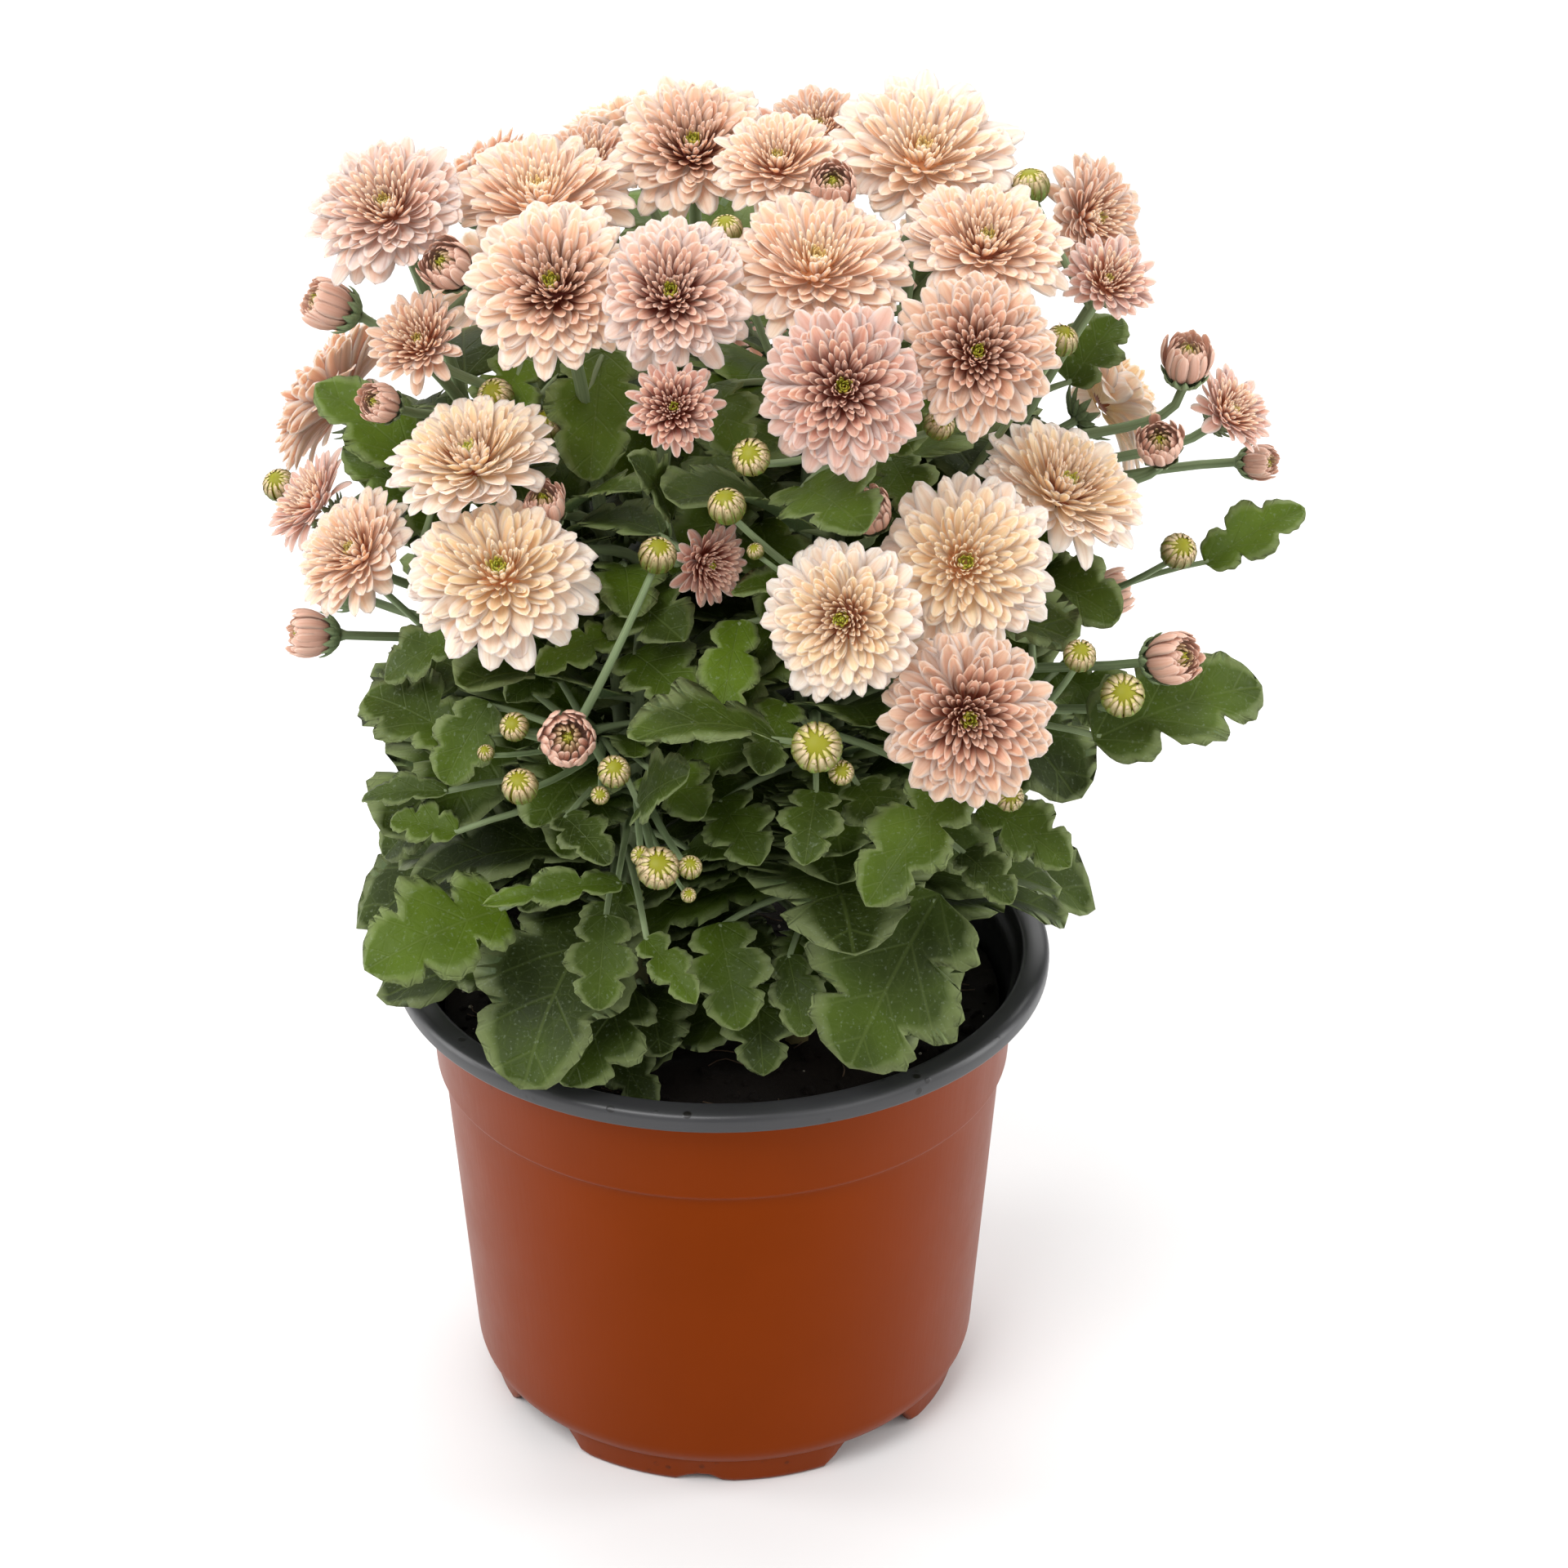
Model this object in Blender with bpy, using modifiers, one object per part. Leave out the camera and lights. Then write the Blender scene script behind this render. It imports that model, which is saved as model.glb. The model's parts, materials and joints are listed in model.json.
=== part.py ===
"""Pot chrysanthemum: a thermoformed pot, its soil, five leafy cuttings, half-open buds and blooms.

Metres, +Z up. The origin is on the pot's axis, in the plane it stands on, and -Y is the front.
"""
import math
from collections import namedtuple

import bmesh
import bpy
import numpy as np
from mathutils import Matrix, Vector
from mathutils.bvhtree import BVHTree

# Pot and soil
MM = 0.001
RIM_RADIUS = 70.0 * MM
RIM_HEIGHT = 105.5 * MM
LIP_DEPTH = 4.5 * MM
LIP_WIDTH = 6.0 * MM
COLLAR_RADIUS = 63.0 * MM
STEP_HEIGHT = 80.0 * MM
STEP_RADIUS = 61.6 * MM
BODY_TOP_RADIUS = 60.0 * MM
BODY_FOOT_RADIUS = 54.5 * MM
FOOT_HEIGHT = 7.0 * MM
FOOT_OUTER = 52.5 * MM
FOOT_WIDTH = 4.5 * MM
FOOT_COUNT = 4
FOOT_GAP = 12.0 * MM
FOOT_TURN = -5.0
PAD_RADIUS = 30.0 * MM
WALL = 1.2 * MM
POT_SIDES = 32
DRAIN_RADIUS = 4.0 * MM
DRAIN_RING = 39.5 * MM
DRAIN_COUNT = 6
FIT = 0.3 * MM
SOIL_HEIGHT = 93.0 * MM
SOIL_SIDES = 24

# Viewpoint that the blooms and leaves were laid out from
PICTURE_CENTRE = 960.0
FOCAL_PIXELS = 5000.0
VIEW_RISE = math.radians(28.5)
VIEW_DISTANCE = 854.0 * MM
VIEW_AIM = Vector((13.3, 0.0, 142.7)) * MM

# Plant
CUTTING_TURNS = (-36.0, 36.0, 108.0, 180.0, -108.0)
ROOT_RING = 27.0 * MM
ROOT_DEPTH = 16.0 * MM
STEM_RADIUS = 2.1 * MM
BRANCH_RADIUS = 1.6 * MM
STALK_RADIUS = 1.2 * MM
SHOOT_RADIUS = 0.9 * MM
SPRAY = 4
STEM_REACH = 48.0 * MM
STALK_GAP = 2.3 * MM
STALKS_FROM = 140.0 * MM
BUD_PETALS = 7
BACK_PETALS = 9
BUD_WIDTH = 20
BLADE = 0.7 * MM
LEAFSTALK_HALF = 1.0 * MM
LEAF_MARGIN = 1.2 * MM
LEAF_STEPS = 17

Bloom = namedtuple("Bloom", "u v width front turn rise cup petals")
Leaf = namedtuple("Leaf", "base_u base_v base_front tip_u tip_v tip_front breadth")

# Open blooms: seen centre and width in pixels, millimetres in front of the axis, facing in degrees,
# cup from 0, flat, to 1, half open, and petals in a layer
BLOOMS = (
    Bloom(475, 255, 185, 5, -25, 55, 0.15, 9),
    Bloom(660, 240, 205, 0, -10, 72, 0.15, 9),
    Bloom(848, 180, 185, -14, 0, 55, 0.20, 9),
    Bloom(953, 200, 155, 6, -10, 66, 0.25, 9),
    Bloom(1130, 190, 215, -12, 5, 60, 0.20, 9),
    Bloom(1207, 300, 190, 24, 15, 64, 0.20, 9),
    Bloom(1337, 268, 150, -12, 50, 22, 0.30, 9),
    Bloom(1356, 345, 118, 12, 20, 48, 0.75, 8),
    Bloom(677, 350, 205, 38, -8, 45, 0.15, 9),
    Bloom(822, 360, 182, 44, 0, 42, 0.15, 9),
    Bloom(1000, 325, 215, 32, 5, 64, 0.15, 9),
    Bloom(1033, 475, 190, 60, 0, 30, 0.10, 9),
    Bloom(1197, 432, 180, 52, 5, 32, 0.10, 9),
    Bloom(515, 420, 130, 22, -25, 48, 0.75, 8),
    Bloom(825, 500, 115, 58, 0, 35, 0.60, 8),
    Bloom(578, 562, 200, 40, -40, 70, 0.20, 9),
    Bloom(384, 615, 130, -4, -75, 42, 0.55, 8),
    Bloom(436, 677, 158, 22, -50, 45, 0.30, 9),
    Bloom(612, 700, 215, 56, -5, 50, 0.00, 9),
    Bloom(1033, 758, 185, 72, -14, 22, 0.10, 9),
    Bloom(1180, 690, 210, 56, 5, 32, 0.10, 9),
    Bloom(1185, 878, 200, 78, 5, 20, 0.10, 9),
    Bloom(1303, 600, 200, 26, 55, 62, 0.20, 9),
    Bloom(1505, 505, 115, -8, 55, 46, 0.60, 8),
    Bloom(866, 690, 105, 44, 40, 8, 0.60, 8),
    Bloom(1003, 158, 120, -38, 0, 62, 0.50, 8),
    Bloom(722, 200, 120, -36, -10, 60, 0.50, 8),
)

# Half-open buds, in the same terms
BUDS = (
    Bloom(420, 380, 66, 2, -75, 28, 1.0, 7),
    Bloom(556, 332, 66, 14, -30, 40, 1.0, 7),
    Bloom(475, 497, 52, 20, -40, 30, 1.0, 7),
    Bloom(1020, 236, 60, 16, 0, 48, 1.0, 7),
    Bloom(1451, 455, 64, -6, 10, 72, 1.0, 7),
    Bloom(1421, 550, 60, 0, -10, 45, 1.0, 7),
    Bloom(1530, 566, 46, -14, 60, 12, 1.0, 7),
    Bloom(1420, 808, 70, 34, 50, 24, 1.0, 7),
    Bloom(665, 630, 62, 44, 0, 62, 1.0, 7),
    Bloom(397, 777, 60, 14, -75, 10, 1.0, 7),
    Bloom(1066, 634, 60, 50, -10, 50, 1.0, 7),
    Bloom(692, 908, 74, 66, 10, 34, 1.0, 7),
    Bloom(1373, 855, 52, 44, 0, 38, 1.0, 7),
    Bloom(1000, 918, 60, 78, 0, 36, 1.0, 7),
)

# Blooms and buds round the sides and back: turn and rise of the facing, radius and height
BACK_BLOOMS = tuple(
    (128 + 34.7 * k, 52, 56 + 3 * (k % 2), 261 - 4 * (k % 2), 32) for k in range(4)
) + tuple((112 + 33.8 * k, 26, 83 + 3 * (k % 2), 214 + 9 * (k % 2), 33) for k in range(5))
BACK_BUDS = tuple((104 + 75 * k, 15, 80, 176 - 8 * (k % 2), 10) for k in range(3))

# Green buds: seen centre, width, millimetres in front of the axis
GREEN_BUDS = (
    (607, 485, 42, 18), (672, 522, 42, 18), (920, 560, 44, 62), (890, 620, 44, 62),
    (805, 680, 44, 56), (342, 594, 38, -14), (925, 675, 20, 60), (630, 890, 34, 64),
    (637, 963, 42, 70), (752, 945, 38, 76), (735, 974, 22, 76), (595, 922, 20, 62),
    (806, 1063, 50, 84), (785, 1048, 24, 82), (845, 1062, 28, 84), (843, 1096, 18, 84),
    (1030, 946, 30, 80), (1300, 417, 38, 22), (1322, 803, 38, 52), (1236, 976, 34, 76),
    (1443, 675, 42, 6), (890, 282, 38, 24), (1262, 228, 44, -6), (1150, 520, 36, 44),
)

# Leaves that the front shows: root and tip of the blade in pixels and millimetres in front of the
# axis, and the breadth as a share of the length
LEAVES = (
    Leaf(618, 1112, 52, 446, 1188, 66, 0.86),
    Leaf(562, 905, 44, 448, 850, 30, 0.80),
    Leaf(545, 600, 18, 386, 470, 4, 0.52),
    Leaf(560, 660, 12, 420, 545, 0, 0.60),
    Leaf(1250, 560, 22, 1392, 500, 14, 0.80),
    Leaf(1310, 470, 4, 1372, 388, -6, 0.80),
    Leaf(1476, 690, -4, 1598, 622, -10, 0.60),
    Leaf(1340, 905, 44, 1546, 838, 26, 0.66),
    Leaf(1150, 1095, 58, 1040, 1308, 66, 0.92),
    Leaf(775, 1210, 46, 690, 1330, 62, 0.95),
    Leaf(742, 1120, 58, 732, 1238, 68, 0.80),
    Leaf(1168, 962, 62, 1060, 1110, 78, 0.66),
    Leaf(1000, 968, 66, 985, 1060, 80, 0.80),
    Leaf(1050, 960, 58, 1100, 1036, 74, 0.80),
    Leaf(970, 590, 34, 1062, 650, 58, 0.90),
    Leaf(762, 1082, 66, 590, 1108, 72, 0.30),
    Leaf(842, 1040, 62, 908, 1048, 78, 0.70),
    Leaf(800, 948, 52, 862, 1000, 72, 0.70),
    Leaf(1200, 985, 54, 1312, 1062, 62, 0.70),
    Leaf(925, 1205, 46, 935, 1318, 60, 0.85),
    Leaf(880, 1130, 50, 905, 1262, 66, 0.80),
    Leaf(905, 760, 44, 880, 905, 64, 0.50),
    Leaf(820, 640, 34, 770, 560, 46, 0.62),
    Leaf(560, 1020, 50, 478, 1004, 44, 0.70),
    Leaf(690, 1000, 58, 745, 1060, 74, 0.60),
)

# Half outline of a blade: share across and share along, from the leafstalk to the tip
HALF_OUTLINE = ((0.06, 0.00), (0.68, 0.13), (0.36, 0.33), (0.98, 0.54), (0.38, 0.69), (0.50, 0.87))
RIB_SHARES = (0.20, 0.60)
RIB_SPLITS = (1, 3, 7)


def direction(turn, rise):
    """Unit vector that faces turn degrees right of the front and rise degrees up."""
    turn, rise = math.radians(turn), math.radians(rise)
    return Vector((math.sin(turn) * math.cos(rise), -math.cos(turn) * math.cos(rise), math.sin(rise)))


def sight(u, v, front):
    """Point on the line of sight through a pixel, front millimetres before the axis, and its scale."""
    ahead = Vector((0, math.cos(VIEW_RISE), -math.sin(VIEW_RISE)))
    up = Vector((0, math.sin(VIEW_RISE), math.cos(VIEW_RISE)))
    eye = VIEW_AIM - ahead * VIEW_DISTANCE
    ray = ahead + Vector((u - PICTURE_CENTRE, 0, 0)) / FOCAL_PIXELS
    ray = ray + up * ((PICTURE_CENTRE - v) / FOCAL_PIXELS)
    depth = (-front * MM - eye.y) / ray.y
    return eye + ray * depth, depth / FOCAL_PIXELS


def heads(blooms, back):
    """Seat, facing, radius, cup and petal count of each bloom, pictured and hidden."""
    found = []
    for item in blooms:
        centre, scale = sight(item.u, item.v, item.front)
        radius = item.width / 2 * scale
        facing = direction(item.turn, item.rise)
        found.append((centre - facing * radius * 0.3, facing, radius, item.cup, item.petals))
    for turn, rise, ring, height, width in back:
        flat = direction(turn, 0) * ring * MM
        cup, petals = (1.0, BUD_PETALS) if width < BUD_WIDTH else (0.2, BACK_PETALS)
        found.append((flat + Vector((0, 0, height * MM)), direction(turn, rise), width / 2 * MM,
                      cup, petals))
    return found


def frame_of(facing):
    """Matrix whose third axis is the facing and whose first axis is level."""
    across = Vector((0, 0, 1)).cross(facing)
    across = across.normalized() if across.length > 1e-3 else Vector((1, 0, 0))
    return Matrix((across, facing.cross(across), facing)).transposed()


def material(name, colour, roughness):
    """Principled material of one plain colour."""
    made = bpy.data.materials.new(name)
    made.use_nodes = True
    shader = made.node_tree.nodes["Principled BSDF"]
    shader.inputs["Base Color"].default_value = (*colour, 1.0)
    shader.inputs["Roughness"].default_value = roughness
    made.diffuse_color = (*colour, 1.0)
    return made


def put(name, mesh, collection, finish=None):
    """Object of a mesh in a collection."""
    made = bpy.data.objects.new(name, mesh)
    collection.objects.link(made)
    if finish:
        mesh.materials.append(finish)
    return made


def turned(name, profile, sides, collection, finish):
    """Solid turned from a profile that runs down its outer side, ends on the axis."""
    mesh = bpy.data.meshes.new(name)
    points = [(r, 0.0, z) for r, z in profile]
    mesh.from_pydata(points, [(i, i + 1) for i in range(len(points) - 1)], [])
    made = put(name, mesh, collection, finish)
    screw = made.modifiers.new("turn", "SCREW")
    screw.steps = screw.render_steps = sides
    screw.use_merge_vertices = True
    screw.merge_threshold = 0.00005
    return made


def cutter(name, mesh, collection, location, turn=0.0):
    """Hidden object that a Boolean takes away."""
    made = put(name, mesh, collection)
    made.location = location
    made.rotation_euler = (0, 0, turn)
    made.hide_render = True
    made.display_type = "WIRE"
    return made


def cylinder_mesh(name, radius, depth, sides):
    """Upright closed cylinder about its own origin."""
    mesh = bpy.data.meshes.new(name)
    shape = bmesh.new()
    bmesh.ops.create_cone(shape, cap_ends=True, segments=sides, radius1=radius, radius2=radius, depth=depth)
    shape.to_mesh(mesh)
    shape.free()
    return mesh


def box_mesh(name, size):
    """Closed box about its own origin."""
    mesh = bpy.data.meshes.new(name)
    shape = bmesh.new()
    bmesh.ops.create_cube(shape, size=1.0)
    bmesh.ops.scale(shape, vec=size, verts=shape.verts)
    shape.to_mesh(mesh)
    shape.free()
    return mesh


def take_away(target, collection):
    """Boolean difference of a whole collection of cutters."""
    cut = target.modifiers.new("cut", "BOOLEAN")
    cut.operation = "DIFFERENCE"
    cut.operand_type = "COLLECTION"
    cut.collection = collection


def make_pot(collection, cutters, finish):
    """Cup with a flat rolled rim, a stepped collar, a raised floor, foot sections and a base pad."""
    floor = FOOT_HEIGHT + WALL
    foot_inner = FOOT_OUTER - FOOT_WIDTH
    lip_base = RIM_HEIGHT - LIP_DEPTH
    profile = (
        (0, WALL), (PAD_RADIUS, WALL), (PAD_RADIUS + 2 * MM, floor), (BODY_FOOT_RADIUS - WALL, floor),
        (BODY_TOP_RADIUS - WALL, STEP_HEIGHT - 4 * MM), (STEP_RADIUS - WALL, STEP_HEIGHT),
        (COLLAR_RADIUS - WALL, lip_base), (RIM_RADIUS - LIP_WIDTH, RIM_HEIGHT),
        (RIM_RADIUS - 1 * MM, RIM_HEIGHT - 0.5 * MM), (RIM_RADIUS, RIM_HEIGHT - 2 * MM),
        (RIM_RADIUS - 0.4 * MM, lip_base), (COLLAR_RADIUS, lip_base),
        (STEP_RADIUS, STEP_HEIGHT), (BODY_TOP_RADIUS, STEP_HEIGHT - 4 * MM),
        (BODY_FOOT_RADIUS + 1 * MM, FOOT_HEIGHT + 6 * MM), (BODY_FOOT_RADIUS - 1 * MM, FOOT_HEIGHT),
        (FOOT_OUTER, FOOT_HEIGHT), (FOOT_OUTER - 1 * MM, 0), (foot_inner + 1 * MM, 0),
        (foot_inner, FOOT_HEIGHT), (PAD_RADIUS + 2 * MM, FOOT_HEIGHT), (PAD_RADIUS, 0), (0, 0),
    )
    pot = turned("pot", profile, POT_SIDES, collection, finish)
    for number in range(FOOT_COUNT):
        turn = math.radians(FOOT_TURN + 45 + 360 / FOOT_COUNT * number)
        middle = FOOT_OUTER - FOOT_WIDTH / 2
        place = (middle * math.sin(turn), -middle * math.cos(turn), FOOT_HEIGHT / 2 - 0.5 * MM)
        gap = box_mesh("foot_gap", (FOOT_GAP, FOOT_WIDTH * 2, FOOT_HEIGHT + 0.6 * MM))
        cutter(f"foot_gap_{number}", gap, cutters, place, turn)
    for number in range(DRAIN_COUNT):
        turn = 2 * math.pi / DRAIN_COUNT * (number + 0.5)
        hole = cylinder_mesh("drain", DRAIN_RADIUS, 4 * WALL, 6)
        place = (DRAIN_RING * math.cos(turn), DRAIN_RING * math.sin(turn), FOOT_HEIGHT + WALL / 2)
        cutter(f"drain_{number}", hole, cutters, place, turn)
    take_away(pot, cutters)
    return pot


def root_place(turn, height):
    """Point on a cutting's stem near the soil."""
    return direction(turn, 0) * ROOT_RING + Vector((0, 0, height))


def make_soil(collection, cutters, finish):
    """Potting soil that fills the cup, a little uneven on top, with a plain hole for each stem."""
    floor = FOOT_HEIGHT + WALL + FIT
    wall = WALL + FIT + 0.6 * MM
    profile = (
        (0, SOIL_HEIGHT), (22 * MM, SOIL_HEIGHT + 0.8 * MM), (44 * MM, SOIL_HEIGHT - 0.6 * MM),
        (STEP_RADIUS - wall, SOIL_HEIGHT - 1.5 * MM), (STEP_RADIUS - wall, STEP_HEIGHT),
        (BODY_TOP_RADIUS - wall, STEP_HEIGHT - 5 * MM), (BODY_FOOT_RADIUS - wall, floor), (0, floor),
    )
    soil = turned("soil", profile, SOIL_SIDES, collection, finish)
    for number, turn in enumerate(CUTTING_TURNS):
        hole = cylinder_mesh("stem_hole", STEM_RADIUS + 2 * FIT, ROOT_DEPTH * 2, 10)
        cutter(f"stem_hole_{number}", hole, cutters, root_place(turn, SOIL_HEIGHT))
    take_away(soil, cutters)
    return soil


def petal_shrink(seat, facing, radius, others):
    """Function that draws a point in towards a bloom's axis until it is clear of its neighbours."""
    middle = seat + facing * radius * 0.3
    planes = []
    for seat_b, facing_b, radius_b, *_ in others:
        middle_b = seat_b + facing_b * radius_b * 0.3
        apart = middle_b - middle
        if 1e-6 < apart.length < radius + radius_b + 2 * MM:
            reach = apart.length * radius / (radius + radius_b) - FIT
            planes.append((apart.normalized(), reach))

    def drawn_in(point, axis_point):
        share = 1.0
        for normal, reach in planes:
            out = (point - middle).dot(normal)
            root = (axis_point - middle).dot(normal)
            if out > reach and out > root:
                share = min(share, max(0.25, (reach - root) / (out - root)))
        return axis_point + (point - axis_point) * share

    return drawn_in


def bloom_rings(radius, cup, petals):
    """Rings of a flower head, from its seat out over each layer of petals and in to its eye.

    A layer is a ring of tips and notches, then a plain ring in its groove. Each is a list of
    (turn, radius, height), and the tips of a layer stand over the notches of the one below.
    """
    def blend(flat, upright):
        return radius * (flat + (upright - flat) * cup)

    step = 2 * math.pi / petals
    layers = ((1.00, 0.70, 0.12, 0.60), (0.82, 0.57, 0.36, 0.70), (0.56, 0.40, 0.50, 0.66))
    grooves = ((0.50, 0.24, 0.42), (0.34, 0.38, 0.50), (0.20, 0.46, 0.54))
    rings = [[(step * i, radius * 0.24, 0.0) for i in range(petals)]]
    for level, (layer, inner) in enumerate(zip(layers, grooves)):
        tip, notch, flat, upright = layer
        groove, groove_flat, groove_up = inner
        shift = step / 2 * level
        ring = []
        for i in range(petals):
            ring.append((shift + step * i, radius * tip, blend(flat, upright)))
            ring.append((shift + step * (i + 0.5), radius * notch, blend(flat + 0.02, upright * 0.8)))
        rings.append(ring)
        floor = blend(groove_flat, groove_up)
        rings.append([(shift + step * i, radius * groove, floor) for i in range(petals)])
    return rings


def bud_rings(radius, petals):
    """Rings of a half-open bud: a barrel of petals whose tips lean in round a hollow crown."""
    step = 2 * math.pi / petals
    seat = [(step * i, radius * 0.45, 0.0) for i in range(petals)]
    belly = []
    tips = []
    for i in range(petals):
        belly += [(step * i, radius, radius * 0.85), (step * (i + 0.5), radius * 0.84, radius * 0.85)]
        tips += [(step * i, radius * 0.86, radius * 1.75), (step * (i + 0.5), radius * 0.70, radius * 1.35)]
    crown = [(step * i, radius * 0.40, radius * 1.25) for i in range(petals)]
    return [seat, belly, tips, crown]


def ring_solid(name, rings, top, seat, facing, shrink):
    """Closed mesh over rings: like rings are joined by quads, plain ones to notched ones by threes."""
    turn = frame_of(facing)
    shape = bmesh.new()
    rows = []
    for ring in rings:
        row = []
        for angle, out, high in ring:
            axis_point = seat + facing * high
            point = axis_point + turn @ Vector((out * math.cos(angle), out * math.sin(angle), 0))
            row.append(shape.verts.new(shrink(point, axis_point)))
        rows.append(row)
    for low, high in zip(rows, rows[1:]):
        join_rings(shape, low, high)
    eye = shape.verts.new(seat + facing * top)
    last = rows[-1]
    for i, vert in enumerate(last):
        shape.faces.new((vert, last[(i + 1) % len(last)], eye))
    shape.faces.new(list(reversed(rows[0])))
    bmesh.ops.triangulate(shape, faces=shape.faces)
    mesh = bpy.data.meshes.new(name)
    shape.to_mesh(mesh)
    shape.free()
    return mesh


def join_rings(shape, low, high):
    """Faces between two rings, of which one may have twice the points of the other."""
    if len(low) == len(high):
        for i in range(len(low)):
            j = (i + 1) % len(low)
            shape.faces.new((low[i], low[j], high[j]))
            shape.faces.new((low[i], high[j], high[i]))
        return
    rising = len(high) > len(low)
    plain, notched = (low, high) if rising else (high, low)
    count = len(plain)
    angle_ahead = notched_lead(plain, notched)
    for i in range(count):
        here, after = plain[i], plain[(i + 1) % count]
        at, between, ahead = (notched[(2 * i + angle_ahead + k) % (2 * count)] for k in range(3))
        for corners in ((here, between, at), (here, after, between), (after, ahead, between)):
            shape.faces.new(corners if rising else tuple(reversed(corners)))


def notched_lead(plain, notched):
    """Number of the notched ring's point that stands nearest the plain ring's first point."""
    spans = [(point.co - plain[0].co).length for point in notched]
    return spans.index(min(spans))


def make_heads(prefix, items, first_others, collection, finish):
    """A node for each bloom or bud, drawn in where its neighbours press on it."""
    for number, (seat, facing, radius, cup, petals) in enumerate(items):
        shrink = petal_shrink(seat, facing, radius, first_others)
        if petals == BUD_PETALS:
            rings, top = bud_rings(radius, petals), radius * 1.1
        else:
            rings, top = bloom_rings(radius, cup, petals), radius * (0.50 + 0.06 * cup)
        mesh = ring_solid(f"{prefix}_{number + 1:02d}", rings, top, seat, facing, shrink)
        put(mesh.name, mesh, collection, finish)


def sector_of(point):
    """Number of the cutting whose wedge of the crown holds a point."""
    gaps = [abs(turn_in_sector(point, number)) for number in range(len(CUTTING_TURNS))]
    return gaps.index(min(gaps))


def bezier(start, lead, trail, end, share):
    """Point of a cubic curve."""
    rest = 1 - share
    return (start * rest ** 3 + lead * (3 * rest ** 2 * share)
            + trail * (3 * rest * share ** 2) + end * share ** 3)


def stem_point(number, height):
    """Point on a cutting's main stem, which leans out a little as it rises."""
    turn = CUTTING_TURNS[number]
    lean = max(0.0, height - SOIL_HEIGHT)
    out = ROOT_RING + lean * 0.12 + lean ** 2 * 0.9
    return direction(turn, 0) * out + Vector((0, 0, height))


def stem_path(number):
    """Points up a cutting's main stem, from the bottom of its hole."""
    low = root_place(CUTTING_TURNS[number], SOIL_HEIGHT - ROOT_DEPTH + FIT)
    return [low] + [stem_point(number, SOIL_HEIGHT + STEM_REACH * k / 4) for k in range(5)]


def near_head(points, items, skip):
    """True if any point lies in or close round a flower head other than the skipped one."""
    for index, (seat, facing, radius, _, petals) in enumerate(items):
        if index == skip:
            continue
        apart = points - np.array(seat + facing * radius * 0.2)
        high = apart @ np.array(facing)
        wide = np.sqrt(np.maximum((apart ** 2).sum(axis=1) - high ** 2, 0))
        top = radius * (1.8 if petals == BUD_PETALS else 0.8)
        if ((wide < radius + 1.4 * MM) & (high > -0.42 * radius - MM) & (high < top)).any():
            return True
    return False


def along_path(path, spacing=2.5 * MM):
    """Points at even spacing along a path, as an array."""
    found = []
    for start, end in zip(path, path[1:]):
        count = max(1, int((end - start).length / spacing))
        found += [start.lerp(end, k / count) for k in range(count)]
    return np.array(found + [path[-1]])


def calyx_share(petals):
    """Radius of the green cup under a head, as a share of the head's."""
    return 0.66 if petals == BUD_PETALS else 0.27


def stalk_path(start, head, bow, steps):
    """Points of a flower stalk, from a place on its branch up to the calyx, along the facing."""
    seat, facing, radius, _, petals = head
    end = seat - facing * (radius * calyx_share(petals) * 0.85 + FIT)
    reach = (end - start).length
    lead = start + Vector((0, 0, 0.3 * reach)) + (end - start) * 0.1 + bow
    trail = end - facing * reach * 0.36 + bow * 0.5
    return [bezier(start, lead, trail, end, k / steps) for k in range(steps + 1)]


def bowed_path(starts, index, items, cloud, number, steps):
    """Stalk that leaves its branch and bows sideways so that it misses the other heads and stalks."""
    side = direction(CUTTING_TURNS[number] + 90, 0)
    best = None
    for start in starts:
        for bow in (0, 7, -7, 14, -14, 21, -21):
            path = stalk_path(start, items[index], side * bow * MM, steps)
            points = along_path(path)
            free = points[len(points) // 4:]
            fault = int((distances(free, np.concatenate(cloud)) < 3 * MM).sum())
            fault += 100 * near_head(free[:-2], items, index)
            if best is None or fault < best[0]:
                best = (fault, path, points)
    return best[1], best[2]


def distances(points, others):
    """Distance from each point to the nearest of some others."""
    return np.sqrt(((points[:, None] - others[None]) ** 2).sum(axis=2)).min(axis=1)


def flower_stalks(items):
    """Stalk of every head: a branch ends in its highest head and the lower ones leave it on the way."""
    stalks = {}
    cloud = [along_path(stem_path(number)) for number in range(len(CUTTING_TURNS))]
    for number in range(len(CUTTING_TURNS)):
        own = [index for index, head in enumerate(items) if sector_of(head[0]) == number]
        own.sort(key=lambda index: turn_in_sector(items[index][0], number))
        for first in range(0, len(own), SPRAY):
            spray = sorted(own[first:first + SPRAY], key=lambda index: -items[index][0].z)
            paths = []
            for index in spray:
                ways = paths + [stem_path(number)[1:]]
                if paths:
                    starts = [nearest(ways, items[index][0], below * MM) for below in (24, 34, 44)]
                else:
                    starts = [stem_point(number, (114 + 24 * first / len(own)) * MM)]
                steps = 2 if paths else 4
                path, points = bowed_path(starts, index, items, cloud, number, steps)
                stalks[index] = (number, path, STALK_RADIUS if paths else BRANCH_RADIUS)
                paths.append(path)
                cloud.append(points)
    return stalks, cloud


def turn_in_sector(point, number):
    """Degrees from the middle of a cutting's wedge to a point, seen from above."""
    turn = math.degrees(math.atan2(point.x, -point.y))
    return (turn - CUTTING_TURNS[number] + 180) % 360 - 180


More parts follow.
